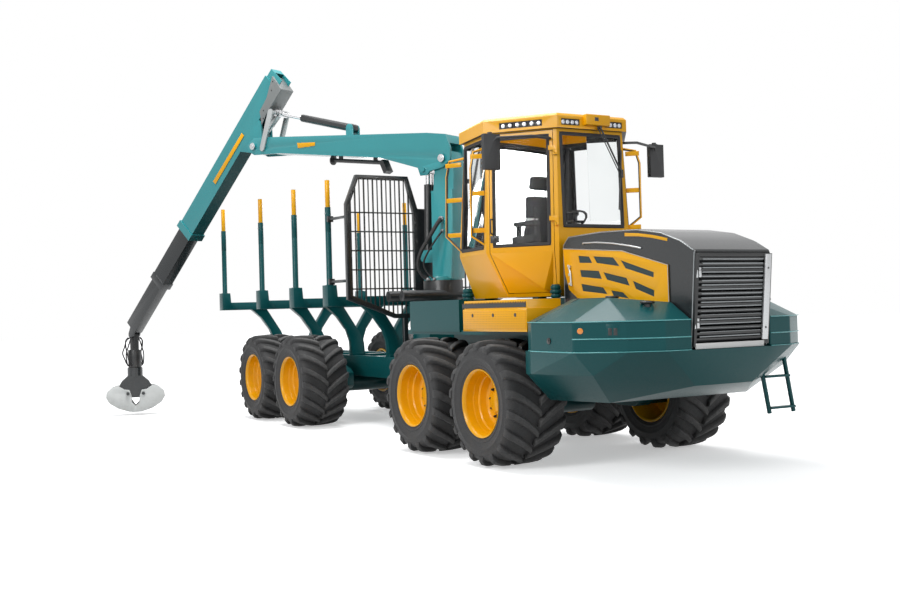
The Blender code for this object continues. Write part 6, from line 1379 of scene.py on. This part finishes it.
def repaint(node, test, material):
    """Give the faces of a dressed node that pass a test another finish."""
    piece = DRESSED[node]
    piece.data.materials.append(FINISHES[material])
    chosen = [face for face in piece.data.polygons if test(face.center - MACHINE_SHIFT, face.normal)]
    for face in chosen:
        face.material_index = len(piece.data.materials) - 1
    return len(chosen)


# The boom's rising underside: its height 0.93 m out from the slewing axis, and its slope
UNDERSIDE_START, UNDERSIDE_Z, UNDERSIDE_SLOPE = 0.93, 3.784, 0.138


def on_lamp_bar(place, _normal):
    """Below the boom's underside, near its middle."""
    local = CRANE_PLACE.inverted() @ place
    underside = UNDERSIDE_Z + (local.x - UNDERSIDE_START) * UNDERSIDE_SLOPE
    return 0.9 < local.x < 2.05 and abs(local.y) < 0.09 and local.z < underside


CAB_MIDDLE = Vector((2.87, 0, 2.9))


def inside_cab(place, normal):
    """Faces that look towards the cab's middle, and the ceiling."""
    inward = CAB_MIDDLE - place
    ceiling = 3.50 < place.z < 3.66 and normal.z < -0.5 and inward.xy.length < 1.0
    facing = inward.x * normal.x + inward.y * normal.y + 0.3 * inward.z * normal.z
    return ceiling or (1.80 < place.z < 3.575 and facing > 0.02)


# The stick's downward faces, painted in the darker teal as shade
def stick_shade_faces(_place, normal):
    return normal.z < -0.25


for node, test, material in (("boom", on_lamp_bar, "black_paint"), ("stick", stick_shade_faces, "body_teal"),
                             ("cab_shell", inside_cab, "cab_plastic"), ("door", inside_cab, "cab_plastic")):
    print(node, "faces in", material, ":", repaint(node, test, material))
fit("lamp_disc", [drum("lamp_disc", on_crane(1.925, 0, 3.893), on_crane(1.934, 0, 3.894), 0.060, 0.003, 32)],
    "silver", BODY_OF["boom"])

# %% [markdown]
# ## Hoses
# Hydraulic hoses are fixed lengths of stiff rubber, held in a fitting at both ends, that bow out between them. A
# solver could let them hang, but such short stiff hoses keep the bow that they were fitted with. So each is one
# smooth route through a few points, and its real length is measured along it. A bundle in a corrugated sleeve and
# a thinner hose come off the column and drop to the slewing base.
# %% Hose routes
FINE_STEPS = 24


def flow(points, pace):
    """A smooth route through the points in even steps of about the given length, and its whole length."""
    points = [Vector(point) for point in points]
    padded = [points[0] * 2 - points[1]] + points + [points[-1] * 2 - points[-2]]
    fine = []
    for a, b, c, d in zip(padded, padded[1:], padded[2:], padded[3:]):
        for i in range(FINE_STEPS):
            t = i / FINE_STEPS
            fine.append(0.5 * ((2 * b) + (c - a) * t + (2 * a - 5 * b + 4 * c - d) * t * t
                               + (3 * b - a - 3 * c + d) * t ** 3))
    fine.append(points[-1])
    total = sum((b - a).length for a, b in zip(fine, fine[1:]))
    count = max(8, round(total / pace))
    route, walked, target = [fine[0]], 0.0, total / count
    for a, b in zip(fine, fine[1:]):
        step = (b - a).length
        while walked + step >= target and len(route) < count:
            route.append(a.lerp(b, (target - walked) / step))
            target += total / count
        walked += step
    return route + [fine[-1]], total


def hose(name, points, diameter, body, pace=0.02, ribs=0.0):
    """A hose along a route. Ribs narrow every second step, which makes a corrugated sleeve."""
    route, length = flow(points, pace)
    route = [place + MACHINE_SHIFT for place in route]
    piece = smooth(swept(name, route, diameter / 2, ribs=ribs), 25 if ribs else 60)
    mount(piece, body, "tyre_rubber", FINISHES["seal_rubber"])
    return round(length, 3)


# Points in the crane's plane: distance, side, height. The first lies on the column, the last on the slewing base.
COLUMN = BODY_OF["column"]
BUNDLE = ((-0.12, 0.162, 2.86), (-0.12, 0.250, 2.80), (-0.04, 0.350, 2.60), (0.08, 0.39, 2.40), (0.13, 0.375, 2.24),
          (0.11, 0.325, 2.12), (0.05, 0.265, 2.055))
LOOP = ((-0.14, 0.162, 2.70), (-0.13, 0.24, 2.64), (-0.04, 0.33, 2.46), (0.05, 0.355, 2.28), (0.03, 0.315, 2.15),
        (-0.05, 0.265, 2.055))
bundle, loop = ([on_crane(*point) for point in points] for points in (BUNDLE, LOOP))
print("bundle", hose("hose_bundle", bundle, 0.060, COLUMN, 0.012, ribs=0.12), "m")
print("loop", hose("hose_loop", loop, 0.026, COLUMN), "m")
across = CRANE_PLACE.to_3x3() @ Vector((0, 0.03, 0))
fittings = [drum("hose_fitting", place - across, place + across, radius, 0.003, 24)
            for place, radius in ((bundle[0], 0.036), (loop[0], 0.020))]
fittings += [drum("hose_socket", (place.x, place.y, 2.040), (place.x, place.y, 2.075), radius, 0.003, 24)
             for place, radius in ((bundle[-1], 0.040), (loop[-1], 0.022))]
fit("hose_fittings", fittings, "highlight_and_fitting_grey", COLUMN)

# %% [markdown]
# Three short hoses on each side feed the rotator. They bow outwards past the pin, each in a layer of its own so
# that they never touch, and they are held at both ends by the tip link.
# %% Rotator hoses
TIP_AXIS, LAYER, FIRST_LAYER = 6.56, 0.020, 0.125
# For each hose: how far from the tip's axis it starts, passes the pin and ends
CROSSINGS = ((-0.045, 0.03, 0.05), (0.045, -0.02, -0.045), (0.0, 0.075, 0.01))


def rotator_route(start, middle, end, out):
    """Points down past the pin: distance from the tip's axis, side and height."""
    return ((start, 0.092, 1.31), (start, out, 1.26), (start * 0.6 + middle * 0.4, out + 0.02, 1.15),
            (middle, out + 0.025, 1.05), (middle * 0.4 + end * 0.6, out + 0.015, 0.95), (end, out - 0.005, 0.87),
            (end, 0.105, 0.83))


rotator_hoses = []
for side, letter in ((-1, "l"), (1, "r")):
    for i, crossing in enumerate(CROSSINGS):
        points = [on_crane(TIP_AXIS + r, side * w, z) for r, w, z in rotator_route(*crossing, FIRST_LAYER + LAYER * i)]
        rotator_hoses.append(hose(f"rotator_hose_{letter}{i}", points, 0.022, BODY_OF["tip_link"]))
print("rotator hoses", rotator_hoses)

# %% [markdown]
# ## Seat
# The operator's seat is soft: a cushion, a back with a narrower top, and a headrest on two posts. Each cushion
# starts as a rounded block, is meshed evenly, and is blown up a little by the cloth solver, which pulls its faces
# round and its seams in.
# %% Seat cushions
# How much smaller a cushion starts than it ends, its grid, the pressure and the frames that the solver runs
START_SHARE, GRID, PUFF, FILL_FRAMES = 0.94, 0.012, 4.0, 12


def cushion(name, low, high, taper):
    """A filled cushion inside a box; the taper narrows its top."""
    low, high = Vector(low), Vector(high)
    clear()
    bpy.ops.mesh.primitive_cube_add(size=1, location=(low + high) / 2)
    piece = named(name)
    piece.scale = (high - low) * START_SHARE
    settle(piece)
    if taper:
        edit(piece)
        pick(piece, lambda middle, normal: normal.z > 0.9)
        bpy.ops.transform.resize(value=(1, 1 - taper, 1), center_override=tuple((low + high) / 2))
        leave()
    modify(piece, "BEVEL", width=min(high - low) * 0.3, segments=4)
    modify(piece, "REMESH", mode="VOXEL", voxel_size=GRID)
    only(piece)
    solver = piece.modifiers.new("fill", "CLOTH")
    solver.settings.quality = 4
    solver.settings.use_pressure = True
    solver.settings.uniform_pressure_force = PUFF
    solver.settings.effector_weights.gravity = 0.0
    solver.settings.bending_stiffness = 4.0
    solver.settings.tension_stiffness = 40.0
    for step in range(1, FILL_FRAMES + 1):
        bpy.context.scene.frame_set(step)
    bpy.ops.object.modifier_apply(modifier=solver.name)
    bpy.context.scene.frame_set(1)
    for vert in piece.data.vertices:
        for axis in range(3):
            vert.co[axis] = min(max(vert.co[axis], low[axis]), high[axis])
    return smooth(piece, 60)


# Name, the CAD node it stands for, lowest and highest corner, taper
SEAT_PIECES = (("seat_base_cushion", ["seat_cushion"], (2.46, -0.25, 2.262), (2.995, 0.25, 2.385), 0.0),
               ("seat_back_cushion", ["seat_back"], (2.40, -0.245, 2.375), (2.52, 0.245, 2.99), 0.28),
               ("seat_headrest", [], (2.405, -0.13, 3.035), (2.495, 0.13, 3.20), 0.2))
for name, nodes, low, high, taper in SEAT_PIECES:
    piece = to_frame(cushion(name, low, high, taper))
    mount(piece, "front_body", "seat_cloth", FINISHES["seat_cloth"], *nodes)
print("cushions:", len(SEAT_PIECES))

# %% [markdown]
# The headrest stands on two steel posts.
# %% Headrest posts, arms and controls
ARM_Y = 0.315
posts = [tube("post", [(2.45, y, 2.95), (2.45, y, 3.06)], 0.007) for y in (-0.06, 0.06)]
fit("headrest_posts", posts, "silver")
arms, pads = [], []
for y in (-ARM_Y, ARM_Y):
    arms.append(slab("armrest", (2.48, y - 0.04, 2.60), (2.86, y + 0.04, 2.65), 0.014, 3))
    arms.append(slab("arm_post", (2.50, y - 0.02, 2.34), (2.55, y + 0.02, 2.61), 0.006))
    arms.append(tube("joystick", [(2.83, y, 2.64), (2.845, y, 2.74)], 0.009))
    arms.append(drum("knob", (2.845, y, 2.73), (2.853, y, 2.79), 0.020, 0.008, 24))
    pads.append(slab("pad", (2.74, y - 0.05, 2.645), (2.81, y + 0.05, 2.672), 0.006))
fit("seat_arms", arms, "cab_plastic")
fit("control_pads", pads, "light_plate")
print("arm pieces:", len(arms), "pads:", len(pads))

# %% [markdown]
# ## Studio
# The machine stands on a plain white floor under large soft lamps. The camera stands at the right front, a little
# above the wheels, where the crane, the cab and the hood all show. Its lens and place were fitted to the wheels,
# the stakes and the cab, so that they fall where a picture from there shows them.
# %% Camera
CAMERA_YAW, CAMERA_PITCH, CAMERA_ROLL = 150.141, 0.693, -1.564
CAMERA_PLACE = at(13.256, -7.422, 1.658)
CAMERA_LENS_MM = 44.438
eye = bpy.data.cameras.new("camera")
eye.lens = CAMERA_LENS_MM
eye.sensor_width = 36
camera = added("camera", eye)
camera.matrix_world = (Matrix.Translation(CAMERA_PLACE) @ turn_z(CAMERA_YAW - 90)
                       @ Matrix.Rotation(math.radians(90 + CAMERA_PITCH), 4, "X") @ turn_z(CAMERA_ROLL))
bpy.context.scene.camera = camera
print("camera at", [round(v, 2) for v in CAMERA_PLACE])

# %% [markdown]
# The floor and the world look white to the camera and stay at a plain level for the lamps. Light Path tells the
# camera's own rays, and those seen in gloss and glass, from the rays that light the machine.
# %% Floor
FLOOR_SIZE, FLOOR_LEVEL, WORLD_LEVEL, SEEN_WHITE = 160, (0.32, 0.32, 0.32), (0.40, 0.41, 0.42), (1.0, 1.0, 1.0)
# The floor glows a little to the camera: nearest and farthest distance in metres, and the glow at each
GLOW = (7.0, 26.0, 0.42, 1.0)


def seen_rays(tree):
    """1 for rays of the camera and those seen in gloss and glass."""
    path = add_node(tree, "ShaderNodeLightPath")
    seen = math_node(tree, "MAXIMUM", path.outputs["Is Camera Ray"], path.outputs["Is Glossy Ray"])
    return math_node(tree, "MAXIMUM", seen, path.outputs["Is Transmission Ray"])


clear()
bpy.ops.mesh.primitive_plane_add(size=FLOOR_SIZE, location=(0, 0, -0.001))
floor = settle(named("studio_floor"))
paint = bpy.data.materials.new("studio floor")
paint.use_nodes = True
tree = paint.node_tree
shader = tree.nodes["Principled BSDF"]
shader.inputs["Roughness"].default_value = 0.9
shader.inputs["Specular IOR Level"].default_value = 0.0
shader.inputs["Emission Color"].default_value = (1, 1, 1, 1)
tree.links.new(blend_colours(tree, seen_rays(tree), FLOOR_LEVEL, SEEN_WHITE), shader.inputs["Base Color"])
reach = add_node(tree, "ShaderNodeVectorMath", operation="LENGTH")
tree.links.new(add_node(tree, "ShaderNodeTexCoord").outputs["Object"], reach.inputs[0])
glow = ramp(tree, reach.outputs["Value"], *GLOW)
tree.links.new(math_node(tree, "MULTIPLY", seen_rays(tree), glow), shader.inputs["Emission Strength"])
floor.data.materials.append(paint)
print("floor:", FLOOR_SIZE, "m")

# %% [markdown]
# The world gives an even light to the machine from every side. Four large discs do the rest: a key lamp from the
# camera's side, one in front, a broad one overhead and one behind. Large lamps give the soft shadow of a studio.
# %% World and lamps
world = bpy.data.worlds.new("studio")
bpy.context.scene.world = world
world.use_nodes = True
tree = world.node_tree
tree.links.new(blend_colours(tree, seen_rays(tree), WORLD_LEVEL, SEEN_WHITE), tree.nodes["Background"].inputs["Color"])
# Name, place, aim, size in metres, power in watts
LAMPS = (("key", (6.0, -13.0, 8.0), (0.5, -0.5, 1.8), 6.0, 900),
         ("front", (16.0, 2.0, 6.0), (3.0, 0.5, 1.5), 6.0, 300),
         ("top", (-1.0, -1.0, 12.0), (0.0, 0.0, 1.0), 9.0, 1350),
         ("back", (-13.0, 8.0, 7.0), (-1.0, 0.0, 1.5), 7.0, 600))


def lamp(name, place, aim, size, power):
    """A round area lamp that faces its aim."""
    light = bpy.data.lights.new(name, "AREA")
    light.shape = "DISK"
    light.size = size
    light.energy = power
    thing = added(name, light)
    thing.location = at(*place)
    thing.rotation_euler = (at(*aim) - at(*place)).to_track_quat("-Z", "Y").to_euler()


for row in LAMPS:
    lamp(*row)
bpy.context.scene.view_settings.view_transform = "Standard"
print("lamps:", len(LAMPS))
